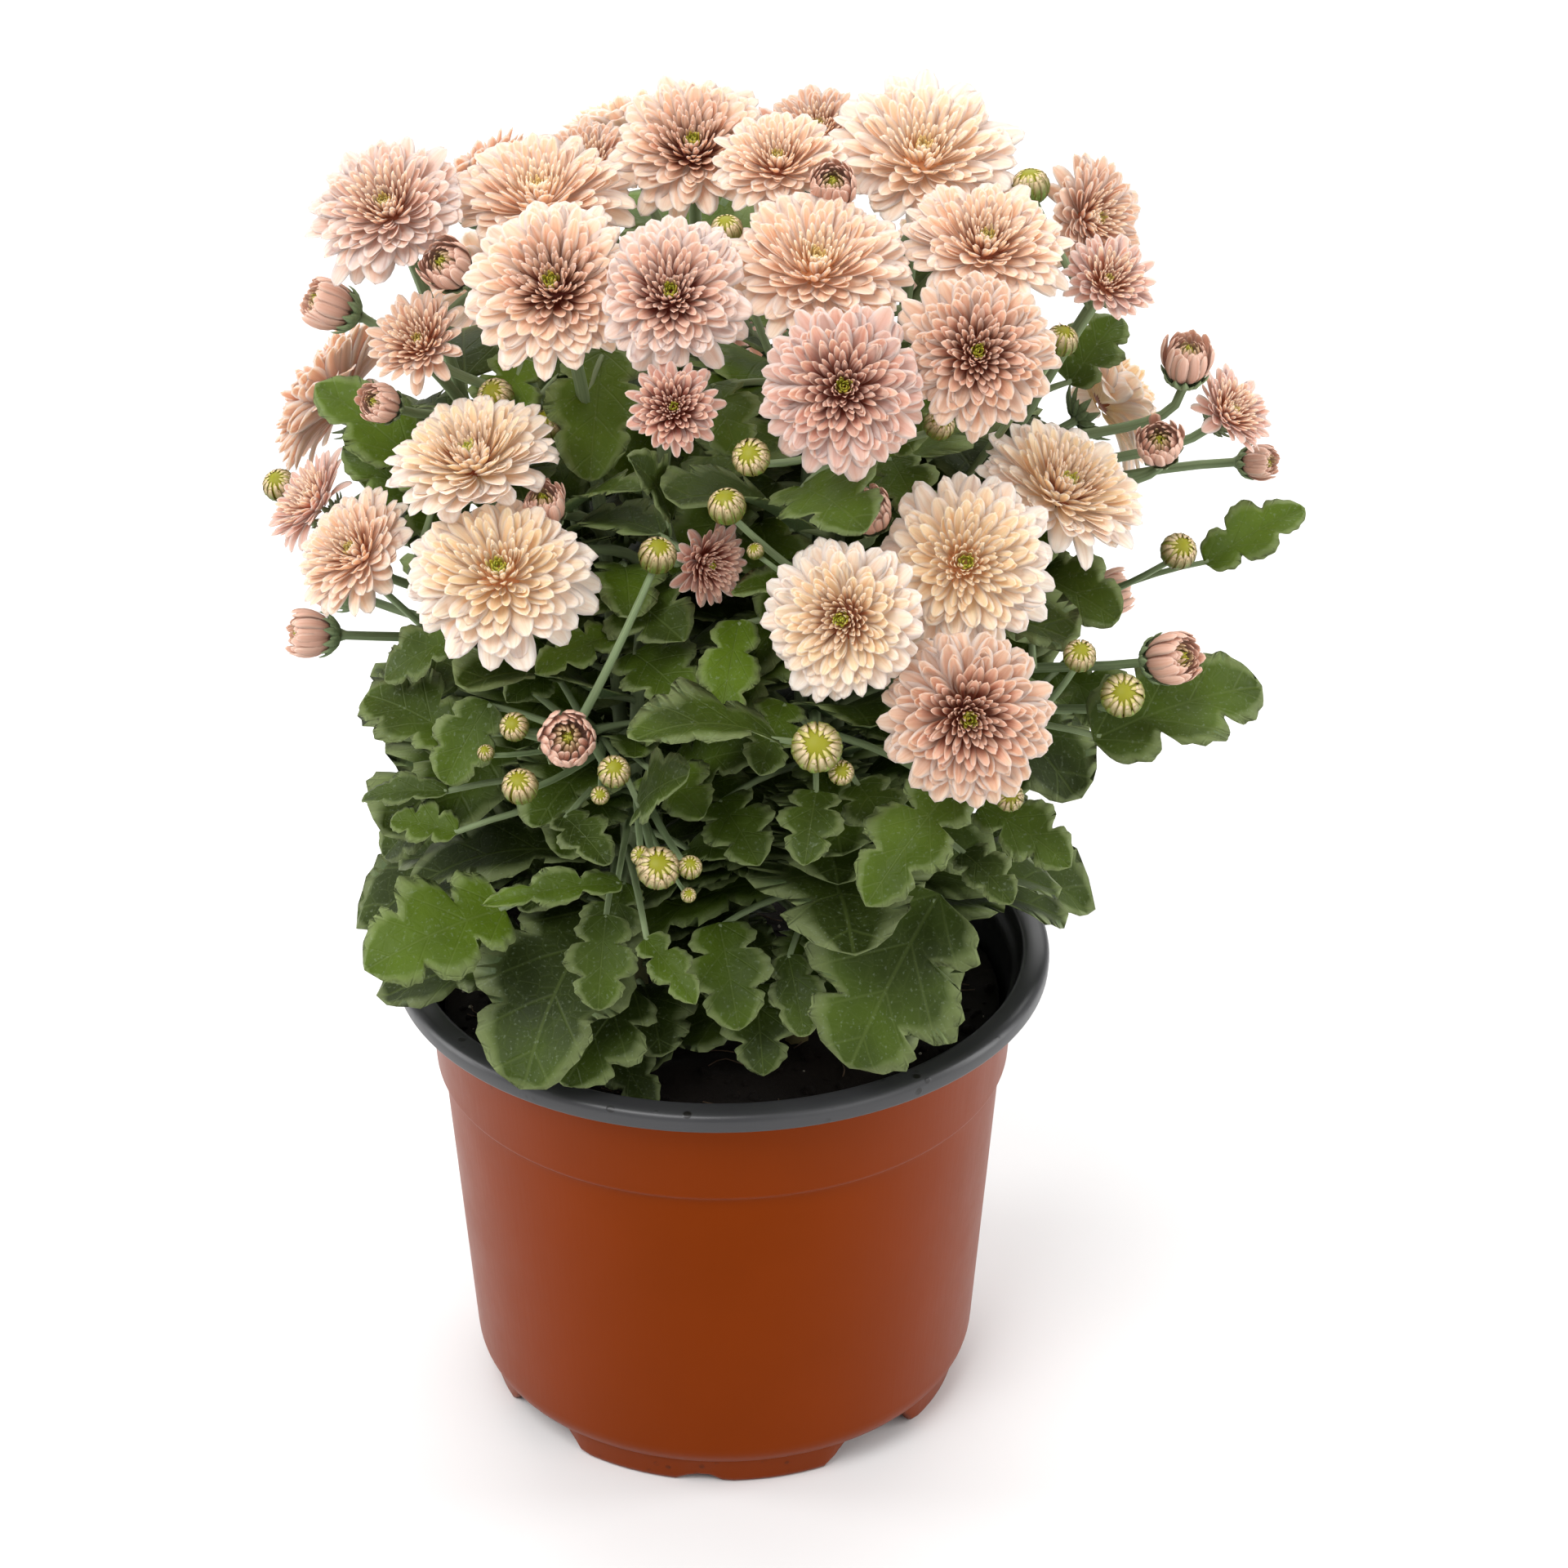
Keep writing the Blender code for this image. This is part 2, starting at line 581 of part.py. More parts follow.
def bud_shoots(items, stalks, cloud):
    """Owner, centre, radius and side-shoot path of each green bud, clear of the flower heads."""
    found = []
    for u, v, width, front in GREEN_BUDS:
        centre, scale = sight(u, v, front)
        number = sector_of(centre)
        radius = width / 2 * scale
        for below in (8, 14, 20, 28, 38, 50):
            start = nearest(own_paths(number, stalks), centre, below * MM)
            end = centre - (Vector((0, 0, 1)) + (centre - start).normalized()).normalized() * radius
            path = [start, end]
            if not near_head(along_path(path)[2:], items, None):
                break
        found.append((number, centre, radius, path))
        cloud.append(along_path(path + [centre]))
    return found


def blade_points(anchor, base, tip, breadth, lean, arch):
    """Rim and midrib points of a blade on a flat leafstalk, arched along and folded up its rib."""
    along = (tip - base).normalized()
    face = (lean - along * lean.dot(along)).normalized()
    across = along.cross(face)
    length = (tip - base).length

    def at(side, share):
        rise = (arch * 4 * share * (1 - share) + 0.10 * abs(side) * breadth) * length
        return base + along * (length * share) + across * (side * breadth * length / 2) + face * rise

    right = [at(side, share) for side, share in HALF_OUTLINE]
    left = [at(-side, share) for side, share in reversed(HALF_OUTLINE)]
    rib = [at(0, share) for share in RIB_SHARES]
    stalk = [anchor + across * (side * LEAFSTALK_HALF) for side in (1, -1)]
    return [stalk[0]] + right + [at(0, 1.0)] + left + [stalk[1]], rib


def blade_faces():
    """Corner numbers of a blade's triangles: rim points first, then the rib points."""
    half = len(HALF_OUTLINE) + 1
    rim = 2 * half + 1
    faces = [(0, 1, rim - 1), (1, rim - 2, rim - 1), (1, rim, rim - 2)]
    for part in range(len(RIB_SHARES)):
        rib = rim + part
        for i in range(RIB_SPLITS[part], RIB_SPLITS[part + 1]):
            faces.append((i, i + 1, rib))
            faces.append((rim - 1 - i, rib, rim - 2 - i))
        if part:
            i = RIB_SPLITS[part]
            faces.append((rib - 1, i, rib))
            faces.append((rib - 1, rib, rim - 1 - i))
    return faces


def samples(rim, rib):
    """Rim points, points between them and half way in, and points on the leafstalk, as an array."""
    edge = np.array(rim[1:-1])
    centre = np.array(rib).mean(axis=0)
    middles = (edge + np.roll(edge, 1, axis=0)) / 2
    anchor, base = (np.array(rim[0]) + np.array(rim[-1])) / 2, (edge[0] + edge[-1]) / 2
    stalk = [anchor + (base - anchor) * share for share in (0.45, 0.7)]
    return np.concatenate((edge, middles, (edge + centre) / 2, np.array(rib), stalk))


def touches(tree, points, gap):
    """True if any point lies within a gap of a blade's surface."""
    return any(tree.find_nearest(point, gap)[0] is not None for point in points)


def is_clear(blade, found, items, stalk_cloud):
    """True if a blade is off the pot and soil, off every head and stalk, and off every earlier blade."""
    _, points, tree, rim, rib = blade
    out = np.hypot(points[:, 0], points[:, 1])
    inside = out < STEP_RADIUS - 3 * MM
    over = (out >= STEP_RADIUS - 3 * MM) & (out < RIM_RADIUS + 3 * MM)
    if (points[inside, 2] < SOIL_HEIGHT + 2.5 * MM).any() or (points[over, 2] < RIM_HEIGHT + 2 * MM).any():
        return False
    if near_head(points, items, None):
        return False
    centre = points.mean(axis=0)
    reach = np.linalg.norm(points - centre, axis=1).max()
    anchor = np.array(rim[0])
    near = stalk_cloud[np.linalg.norm(stalk_cloud - centre, axis=1) < reach + 3 * MM]
    near = near[np.linalg.norm(near - anchor, axis=1) > 5 * MM]
    if touches(tree, near, STALK_GAP):
        return False
    for _, taken, other, other_rim, _ in found:
        if np.linalg.norm(taken.mean(axis=0) - centre) < 2.2 * reach:
            if tree.overlap(other) or touches(other, points, LEAF_MARGIN):
                return False
            if touches(tree, taken, LEAF_MARGIN) or touches(tree, other_rim, LEAF_MARGIN):
                return False
    return True


def make_blade(number, anchor, base, tip, breadth, lean, arch):
    """Owner, samples, search tree, rim and rib of one blade."""
    rim, rib = blade_points(anchor, base, tip, breadth, lean, arch)
    tree = BVHTree.FromPolygons(rim + rib, blade_faces())
    return number, samples(rim, rib), tree, rim, rib


def nearest(paths, point, below):
    """Point of some paths that is nearest to a point and at least so far below it."""
    best = None
    for path in paths:
        for place in along_path(path, 4 * MM)[1:]:
            span = math.dist(place, point)
            if point.z - place[2] >= below and (best is None or span < best[0]):
                best = (span, place)
    return Vector(best[1])


def pictured_leaves(items, stalks, stalk_cloud):
    """Blades that the front shows, each moved along the line of sight or drawn in until it is clear."""
    found = []
    for leaf in LEAVES:
        for shift, pull in ((s, p) for p in (1.0, 0.9, 0.8, 0.7) for s in (0, 5, -5, 10, -10, 15, -15, -22)):
            base, _ = sight(leaf.base_u, leaf.base_v, leaf.base_front + shift)
            tip, _ = sight(leaf.tip_u, leaf.tip_v, leaf.tip_front + shift)
            number = sector_of((base + tip) / 2)
            anchor = nearest(own_paths(number, stalks), base, 2 * MM)
            blade = make_blade(number, anchor, tip + (base - tip) * pull, tip, leaf.breadth,
                               Vector((0, -0.55, 0.85)), 0.08)
            if is_clear(blade, found, items, stalk_cloud):
                found.append(blade)
                break
    return found


def own_paths(number, stalks):
    """Paths of a cutting's stem and of its flower stalks."""
    return [stem_path(number)] + [path for owner, path, _ in stalks.values() if owner == number]


def hidden_leaves(items, stalks, stalk_cloud, found):
    """Blades round the sides, back and inside, by a spiral rule up each cutting, where there is room."""
    for step in range(LEAF_STEPS):
        for number, middle in enumerate(CUTTING_TURNS):
            height = (101 + 118 * step / LEAF_STEPS) * MM
            paths = own_paths(number, stalks)
            path = paths[step % len(paths)] if height > STALKS_FROM else paths[0]
            places = along_path(path, 4 * MM)
            anchor = Vector(places[np.abs(places[:, 2] - height).argmin()])
            spiral = (step * 137.5 + number * 50) % 360 - 180
            inward = abs(spiral) > 90
            length = (47 - 14 * step / LEAF_STEPS) * MM * (0.72 if inward else 1.0)
            droop = (step * 61.8 + number * 23) % 50
            for nudge in (0, 15, -15, 30, -30, 45, -45):
                turn, rise = middle + spiral + nudge, 8 - droop + 30 * step / LEAF_STEPS
                base = anchor + direction(turn, 24) * 9 * MM
                blade = make_blade(number, anchor, base, base + direction(turn, rise) * length,
                                   0.84, direction(turn, 75), 0.12)
                if is_clear(blade, found, items, stalk_cloud):
                    found.append(blade)
                    break
    return found


def tubes(wanted, collection):
    """Closed tubes, as meshes with welded caps, from (name, points, radii, resolution)."""
    scene = bpy.context.scene.collection
    drawn = []
    for name, points, radii, resolution in wanted:
        curve = bpy.data.curves.new(name, "CURVE")
        curve.dimensions = "3D"
        curve.bevel_depth = MM
        curve.bevel_resolution = resolution
        curve.use_fill_caps = True
        spline = curve.splines.new("POLY")
        spline.points.add(len(points) - 1)
        for slot, point, radius in zip(spline.points, points, radii):
            slot.co = (*point, 1.0)
            slot.radius = radius / MM
        drawn.append(bpy.data.objects.new(name, curve))
        scene.objects.link(drawn[-1])
    graph = bpy.context.evaluated_depsgraph_get()
    made = []
    for item in drawn:
        mesh = bpy.data.meshes.new_from_object(item.evaluated_get(graph))
        shape = bmesh.new()
        shape.from_mesh(mesh)
        bmesh.ops.remove_doubles(shape, verts=shape.verts, dist=0.00001)
        bmesh.ops.recalc_face_normals(shape, faces=shape.faces)
        shape.to_mesh(mesh)
        shape.free()
        made.append(put(item.name, mesh, collection))
    for item in drawn:
        bpy.data.objects.remove(item)
    return made


def stalk_tube(head, path, radius):
    """Flower stalk that flares into the green cup under its head, a fit's gap below the seat."""
    seat, facing, wide, _, petals = head
    cup = wide * calyx_share(petals)
    points = path + [seat - facing * (cup * 0.35 + FIT), seat - facing * FIT]
    radii = [radius] * (len(path) - 1) + [radius * 0.9, cup * 0.9, cup]
    return "stalk", points, radii, 0


def shoot_tube(centre, radius, path):
    """Side shoot that ends in the globe of a young bud."""
    along = (centre - path[-1]).normalized()
    points = path + [centre, centre + along * radius * 0.8]
    radii = [SHOOT_RADIUS, SHOOT_RADIUS, radius, radius * 0.55]
    return "shoot", points, radii, 1


def make_leaf(blade, collection):
    """Lobed blade with its flat leafstalk, as a thin closed sheet."""
    _, _, _, rim, rib = blade
    mesh = bpy.data.meshes.new("blade")
    mesh.from_pydata(rim + rib, [], blade_faces())
    leaf = put("blade", mesh, collection)
    thick = leaf.modifiers.new("thickness", "SOLIDIFY")
    thick.thickness = BLADE
    thick.offset = 0


def union(base, collection, name, finish, target):
    """One solid of everything in a collection, applied, after which the collection is emptied."""
    join = base.modifiers.new("join", "BOOLEAN")
    join.operation = "UNION"
    join.operand_type = "COLLECTION"
    join.collection = collection
    join.solver = "MANIFOLD"
    graph = bpy.context.evaluated_depsgraph_get()
    mesh = bpy.data.meshes.new_from_object(base.evaluated_get(graph))
    mesh.name = name
    for item in [base] + list(collection.objects):
        bpy.data.objects.remove(item)
    bpy.data.collections.remove(collection)
    mesh.materials.clear()
    return put(name, mesh, target, finish)


def make_cutting(number, items, stalks, shoots, leaves, target, finish):
    """Leafy stem: its main stem, branches, flower stalks, green buds and leaves, as one solid."""
    parts = bpy.data.collections.new(f"cutting_{number}")
    bpy.context.scene.collection.children.link(parts)
    wanted = [stalk_tube(items[index], path, radius)
              for index, (owner, path, radius) in stalks.items() if owner == number]
    wanted += [shoot_tube(*shoot) for owner, *shoot in shoots if owner == number]
    tubes(wanted, parts)
    for blade in leaves:
        if blade[0] == number:
            make_leaf(blade, parts)
    main = stem_path(number)
    stem = tubes([("stem", main, [STEM_RADIUS] * len(main), 1)], bpy.context.scene.collection)[0]
    return union(stem, parts, f"leafy_stem_{number + 1}", finish, target)


def build():
    """Whole plant in its pot."""
    for item in list(bpy.data.objects):
        bpy.data.objects.remove(item)
    scene = bpy.context.scene.collection
    plant = bpy.data.collections.new("pot_chrysanthemum")
    pot_cutters = bpy.data.collections.new("pot_cutters")
    soil_cutters = bpy.data.collections.new("soil_cutters")
    for collection in (plant, pot_cutters, soil_cutters):
        scene.children.link(collection)
    terracotta = material("terracotta plastic", (0.32, 0.06, 0.015), 0.45)
    earth = material("potting soil", (0.012, 0.009, 0.007), 0.95)
    petal = material("peach petals", (0.80, 0.50, 0.38), 0.6)
    bud_petal = material("dusky pink petals", (0.50, 0.25, 0.22), 0.6)
    green = material("leaves and stems", (0.045, 0.13, 0.03), 0.55)
    blooms = heads(BLOOMS, BACK_BLOOMS)
    buds = heads(BUDS, BACK_BUDS)
    everything = blooms + buds
    stalks, cloud = flower_stalks(everything)
    shoots = bud_shoots(everything, stalks, cloud)
    stalk_cloud = np.concatenate(cloud)
    leaves = pictured_leaves(everything, stalks, stalk_cloud)
    leaves = hidden_leaves(everything, stalks, stalk_cloud, leaves)
    for number in range(len(CUTTING_TURNS)):
        make_cutting(number, everything, stalks, shoots, leaves, plant, green)
    make_heads("bloom", blooms, everything, plant, petal)
    make_heads("bud", buds, everything, plant, bud_petal)
    make_pot(plant, pot_cutters, terracotta)
    make_soil(plant, soil_cutters, earth)


build()
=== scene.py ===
import json
import math
from collections import namedtuple

import bpy
import numpy as np
from mathutils import Matrix, Vector
from mathutils.bvhtree import BVHTree

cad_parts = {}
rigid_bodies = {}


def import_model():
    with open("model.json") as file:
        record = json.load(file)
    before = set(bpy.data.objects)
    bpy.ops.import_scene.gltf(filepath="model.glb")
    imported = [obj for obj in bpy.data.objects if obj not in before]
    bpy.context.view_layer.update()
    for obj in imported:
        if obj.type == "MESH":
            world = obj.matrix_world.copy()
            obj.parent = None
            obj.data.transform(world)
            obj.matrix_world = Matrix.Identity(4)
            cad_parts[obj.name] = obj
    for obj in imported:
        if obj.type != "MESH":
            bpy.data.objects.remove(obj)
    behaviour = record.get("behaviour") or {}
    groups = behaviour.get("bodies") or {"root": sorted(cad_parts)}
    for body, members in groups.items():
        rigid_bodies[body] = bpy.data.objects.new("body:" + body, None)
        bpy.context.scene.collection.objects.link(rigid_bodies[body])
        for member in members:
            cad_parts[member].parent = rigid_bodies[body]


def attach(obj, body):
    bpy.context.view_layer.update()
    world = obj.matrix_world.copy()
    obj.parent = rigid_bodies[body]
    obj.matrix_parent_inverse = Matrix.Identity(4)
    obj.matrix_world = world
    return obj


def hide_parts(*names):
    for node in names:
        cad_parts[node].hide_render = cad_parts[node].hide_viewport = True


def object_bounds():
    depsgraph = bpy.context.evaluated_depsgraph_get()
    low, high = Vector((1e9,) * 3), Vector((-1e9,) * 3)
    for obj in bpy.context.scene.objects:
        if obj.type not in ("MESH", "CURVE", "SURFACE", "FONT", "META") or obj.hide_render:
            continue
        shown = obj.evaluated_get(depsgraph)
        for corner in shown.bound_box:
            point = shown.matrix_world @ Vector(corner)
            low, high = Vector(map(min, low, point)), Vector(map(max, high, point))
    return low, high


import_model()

cad_low, cad_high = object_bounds()
MM = 0.001

# The pot is drawn from one sheet of polypropylene, terracotta outside and dark grey inside. Its rim is
# rolled out and pressed flat, the collar under it keeps stacked pots from jamming, and its foot sections
# are pressed down out of the floor.
RIM_RADIUS = 70.0 * MM
RIM_HEIGHT = 105.5 * MM
COLLAR_RADIUS = 63.0 * MM
STEP_RADIUS = 61.6 * MM
STEP_HEIGHT = 80.0 * MM
BODY_TOP_RADIUS = 60.0 * MM
BODY_FOOT_RADIUS = 54.5 * MM
FOOT_HEIGHT = 7.0 * MM
FOOT_OUTER = 52.5 * MM
FOOT_INNER = 48.0 * MM
FOOT_COUNT = 4
FOOT_TURN = math.radians(-5)
FOOT_GAP = 13.0 * MM
FOOT_SLOPE = 7.0 * MM
NOTCH_WIDTH = 8.0 * MM
NOTCH_DEPTH = 1.7 * MM
PAD_RADIUS = 30.0 * MM
WALL = 1.2 * MM
POT_AROUND = 128
DRAIN_RADIUS = 4.0 * MM
DRAIN_RING = 39.5 * MM
DRAIN_COUNT = 6


def linear(text):
    """Linear red, green, blue and alpha of an sRGB hex colour."""
    shares = np.array([int(text[i:i + 2], 16) / 255 for i in (1, 3, 5)])
    shares = np.where(shares <= 0.04045, shares / 12.92, ((shares + 0.055) / 1.055) ** 2.4)
    return (*shares.tolist(), 1.0)


def add(tree, kind, inputs=None, **settings):
    """Node of a kind with its settings; each input gets a value, or a link from another node's output."""
    node = tree.nodes.new("ShaderNode" + kind)
    for name, value in settings.items():
        setattr(node, name, value)
    for name, value in (inputs or {}).items():
        if isinstance(value, bpy.types.NodeSocket):
            tree.links.new(value, node.inputs[name])
        else:
            node.inputs[name].default_value = value
    return node


def new_finish(name):
    """Material with its node tree and its Principled shader."""
    made = bpy.data.materials.new(name)
    made.use_nodes = True
    return made, made.node_tree, made.node_tree.nodes["Principled BSDF"]


def skin_faces(count, rings, around):
    """Triangles of closed skins, each one a pole, its rings of points and a second pole.

    The rings run anticlockwise about the way from the first pole to the second, so faces look outwards.
    """
    ring, step = np.meshgrid(np.arange(rings - 1), np.arange(around), indexing="ij")
    here, beside = 1 + ring * around + step, 1 + ring * around + (step + 1) % around
    above, across = here + around, beside + around
    sides = np.stack((here, beside, across, here, across, above), axis=-1).reshape(-1, 3)
    step = np.arange(around)
    turned = (step + 1) % around
    last = 1 + (rings - 1) * around
    start = np.stack((0 * step, 1 + turned, 1 + step), axis=-1)
    end = np.stack((0 * step + last + around, last + step, last + turned), axis=-1)
    one = np.concatenate((sides, start, end))
    return (one[None] + (rings * around + 2) * np.arange(count)[:, None, None]).reshape(-1, 3)


def make_mesh(name, points, faces, sheet=None, tones=None):
    """Smooth mesh of triangles; sheet is a UV place for each point, and tones are named point values."""
    mesh = bpy.data.meshes.new(name)
    mesh.vertices.add(len(points))
    mesh.vertices.foreach_set("co", np.asarray(points, np.float32).ravel())
    mesh.loops.add(faces.size)
    mesh.loops.foreach_set("vertex_index", faces.astype(np.int32).ravel())
    mesh.polygons.add(len(faces))
    mesh.polygons.foreach_set("loop_start", np.arange(0, faces.size, 3, dtype=np.int32))
    mesh.update(calc_edges=True)
    if sheet is not None:
        places = mesh.uv_layers.new(name="sheet")
        places.data.foreach_set("uv", np.asarray(sheet, np.float32)[faces.ravel()].ravel())
    for tone, values in (tones or {}).items():
        kind, field = ("FLOAT_COLOR", "color") if values.ndim == 2 else ("FLOAT", "value")
        mesh.attributes.new(tone, kind, "POINT").data.foreach_set(field, values.astype(np.float32).ravel())
    mesh.shade_smooth()
    return mesh


def put(name, mesh, *finishes):
    """Piece of a mesh, in the scene, at the origin."""
    made = bpy.data.objects.new(name, mesh)
    bpy.context.scene.collection.objects.link(made)
    for finish in finishes:
        mesh.materials.append(finish)
    return made


def rounded(corners, steps=4):
    """Profile through (radius, height, rounding) corners, each one eased into a quadratic arc."""
    spots, ease = np.array(corners)[:, :2], np.array(corners)[1:-1, 2:]
    before, corner, after = spots[:-2], spots[1:-1], spots[2:]
    back, ahead = before - corner, after - corner
    back_span, ahead_span = (np.linalg.norm(v, axis=1, keepdims=True) for v in (back, ahead))
    start = corner + back / back_span * np.minimum(ease, back_span * 0.45)
    end = corner + ahead / ahead_span * np.minimum(ease, ahead_span * 0.45)
    share = np.linspace(0, 1, steps)[None, :, None]
    arcs = (1 - share) ** 2 * start[:, None] + share ** 2 * end[:, None]
    arcs = arcs + 2 * share * (1 - share) * corner[:, None]
    return np.concatenate((spots[:1], arcs.reshape(-1, 2), spots[-1:]))


def turned_points(profile, around):
    """Points of a profile carried round the axis: the first and last lie on it, the others are rings."""
    angle = np.arange(around) * 2 * np.pi / around
    radius, height = profile[1:-1, :1], profile[1:-1, 1:]
    rings = np.stack((radius * np.cos(angle), radius * np.sin(angle), height + 0 * angle), axis=-1)
    poles = [np.array([[0, 0, profile[i, 1]]]) for i in (0, -1)]
    return np.concatenate((poles[0], rings.reshape(-1, 3), poles[1]))


def foot_depth(points):
    """Share of a foot's height that each point reaches down: 1 under a foot, 0 in a gap, eased between,
    and a little less in the notch at the middle of each foot."""
    pitch = 2 * np.pi / FOOT_COUNT
    turn = np.arctan2(points[:, 0], -points[:, 1]) - FOOT_TURN
    off = np.abs((turn + pitch / 2) % pitch - pitch / 2) * FOOT_OUTER
    inside = np.clip((pitch / 2 * FOOT_OUTER - FOOT_GAP / 2 - off) / FOOT_SLOPE, 0, 1)
    notch = NOTCH_DEPTH / FOOT_HEIGHT * np.exp(-(off / (NOTCH_WIDTH / 2)) ** 4)
    return inside ** 2 * (3 - 2 * inside) * (1 - notch)


pot_corners = (
    (0, 0, 0), (PAD_RADIUS, 0, 1 * MM), (PAD_RADIUS + 2 * MM, FOOT_HEIGHT, 1 * MM),
    (FOOT_INNER, FOOT_HEIGHT, 0.8 * MM), (FOOT_INNER + 1 * MM, 0, 1 * MM), (FOOT_OUTER - 1 * MM, 0, 1.4 * MM),
    (FOOT_OUTER, FOOT_HEIGHT - 0.3 * MM, 0.4 * MM), (BODY_FOOT_RADIUS - 1 * MM, FOOT_HEIGHT, 0.5 * MM),
    (BODY_FOOT_RADIUS + 0.5 * MM, FOOT_HEIGHT + 2.4 * MM, 2 * MM), (BODY_TOP_RADIUS, STEP_HEIGHT - 3.0 * MM, 2 * MM),
    (BODY_TOP_RADIUS + 0.2 * MM, STEP_HEIGHT - 0.8 * MM, 0.5 * MM), (STEP_RADIUS, STEP_HEIGHT, 0.6 * MM),
    (COLLAR_RADIUS, RIM_HEIGHT - 4.3 * MM, 0.3 * MM), (RIM_RADIUS - 1.2 * MM, RIM_HEIGHT - 4.4 * MM, 0.3 * MM),
    (RIM_RADIUS - 0.2 * MM, RIM_HEIGHT - 4.0 * MM, 0.5 * MM), (RIM_RADIUS, RIM_HEIGHT, 2.2 * MM),
    (RIM_RADIUS - 5.6 * MM, RIM_HEIGHT - 0.1 * MM, 0.9 * MM), (RIM_RADIUS - 6.6 * MM, RIM_HEIGHT - 3.6 * MM, 1 * MM),
    (COLLAR_RADIUS - WALL, RIM_HEIGHT - 6 * MM, 1 * MM), (STEP_RADIUS - WALL, STEP_HEIGHT, 0.5 * MM),
    (BODY_TOP_RADIUS - WALL, STEP_HEIGHT - 3 * MM, 0.5 * MM), (BODY_FOOT_RADIUS - WALL, FOOT_HEIGHT + WALL, 2 * MM),
    (PAD_RADIUS + 1 * MM, FOOT_HEIGHT + WALL, 1 * MM), (PAD_RADIUS - 1 * MM, WALL, 1 * MM), (0, WALL, 0),
)
pot_profile = rounded(pot_corners)
pot_points = turned_points(pot_profile, POT_AROUND)
on_foot = (np.hypot(pot_points[:, 0], pot_points[:, 1]) > PAD_RADIUS + 4 * MM) & (pot_points[:, 2] < FOOT_HEIGHT)
drop = (FOOT_HEIGHT - pot_points[:, 2]) * foot_depth(pot_points)
pot_points[:, 2] = np.where(on_foot, FOOT_HEIGHT - drop, pot_points[:, 2])
pot_faces = skin_faces(1, len(pot_profile) - 2, POT_AROUND)
pot_mesh = make_mesh("pot_shell", pot_points, pot_faces)

# Polypropylene sheet, terracotta: satin, with the faint upright drag lines of the mould, small scuffs
# and dark potting dust that sticks to the feet.
terracotta, tree, shader = new_finish("polypropylene sheet, terracotta")
place = add(tree, "TexCoord").outputs["Object"]
height = add(tree, "SeparateXYZ", {"Vector": place}).outputs["Z"]
mottle = add(tree, "TexNoise", {"Vector": place, "Scale": 38.0, "Detail": 4.0}).outputs["Fac"]
drag = add(tree, "TexNoise", {"Vector": add(tree, "Mapping", {"Vector": place, "Scale": (900, 900, 30)}).outputs[0],
                              "Scale": 1.0, "Detail": 2.0}).outputs["Fac"]
shade = add(tree, "MixRGB", {"Fac": mottle, "Color1": linear("#6E2A01"), "Color2": linear("#782E02")})
specks = add(tree, "TexVoronoi", {"Vector": place, "Scale": 420.0, "Randomness": 1.0}).outputs["Distance"]
patches = add(tree, "TexNoise", {"Vector": place, "Scale": 95.0, "Detail": 6.0, "Roughness": 0.7}).outputs["Fac"]
low_band = add(tree, "MapRange", {"Value": height, "From Min": 0.010, "From Max": 0.004, "To Min": 0.0,
                                  "To Max": 1.0}).outputs[0]
crumb = add(tree, "MapRange", {"Value": specks, "From Min": 0.34, "From Max": 0.22, "To Min": 0.0,
                               "To Max": 1.0}).outputs[0]
patchy = add(tree, "MapRange", {"Value": patches, "From Min": 0.50, "From Max": 0.60}).outputs[0]
dusty = add(tree, "Math", {0: add(tree, "Math", {0: low_band, 1: patchy}, operation="MULTIPLY").outputs[0],
                           1: crumb}, operation="MULTIPLY").outputs[0]
rare = add(tree, "TexVoronoi", {"Vector": place, "Scale": 60.0}).outputs["Distance"]
fleck = add(tree, "MapRange", {"Value": rare, "From Min": 0.055, "From Max": 0.035, "To Max": 0.55}).outputs[0]
dirt = add(tree, "Math", {0: dusty, 1: fleck}, operation="MAXIMUM").outputs[0]
soiled = add(tree, "MixRGB", {"Fac": dirt, "Color1": shade.outputs[0], "Color2": linear("#2A1A12")})
tree.links.new(soiled.outputs[0], shader.inputs["Base Color"])
gloss = add(tree, "MapRange", {"Value": patches, "To Min": 0.30, "To Max": 0.46}).outputs[0]
tree.links.new(gloss, shader.inputs["Roughness"])
bump = add(tree, "Bump", {"Height": add(tree, "Math", {0: drag, 1: dirt}, operation="ADD").outputs[0],
                          "Strength": 0.06, "Distance": 0.0004})
tree.links.new(bump.outputs[0], shader.inputs["Normal"])
shader.inputs["IOR"].default_value = 1.49
shader.inputs["Specular IOR Level"].default_value = 0.18
shader.inputs["Specular Tint"].default_value = linear("#FF7A20")

# The inner face of the same sheet, dark grey: it shows on the rim and above the soil, a little glossier
# where the rim was pressed, with crumbs of soil stuck to it.
grey, tree, shader = new_finish("polypropylene sheet, dark grey")
place = add(tree, "TexCoord").outputs["Object"]
mottle = add(tree, "TexNoise", {"Vector": place, "Scale": 60.0, "Detail": 5.0}).outputs["Fac"]
shade = add(tree, "MixRGB", {"Fac": mottle, "Color1": linear("#2C2C2E"), "Color2": linear("#39393B")})
specks = add(tree, "TexVoronoi", {"Vector": place, "Scale": 260.0}).outputs["Distance"]
crumb = add(tree, "MapRange", {"Value": specks, "From Min": 0.26, "From Max": 0.18}).outputs[0]
patchy = add(tree, "MapRange", {"Value": mottle, "From Min": 0.52, "From Max": 0.60}).outputs[0]
dirt = add(tree, "Math", {0: crumb, 1: patchy}, operation="MULTIPLY").outputs[0]
soiled = add(tree, "MixRGB", {"Fac": dirt, "Color1": shade.outputs[0], "Color2": linear("#100D0B")})
tree.links.new(soiled.outputs[0], shader.inputs["Base Color"])
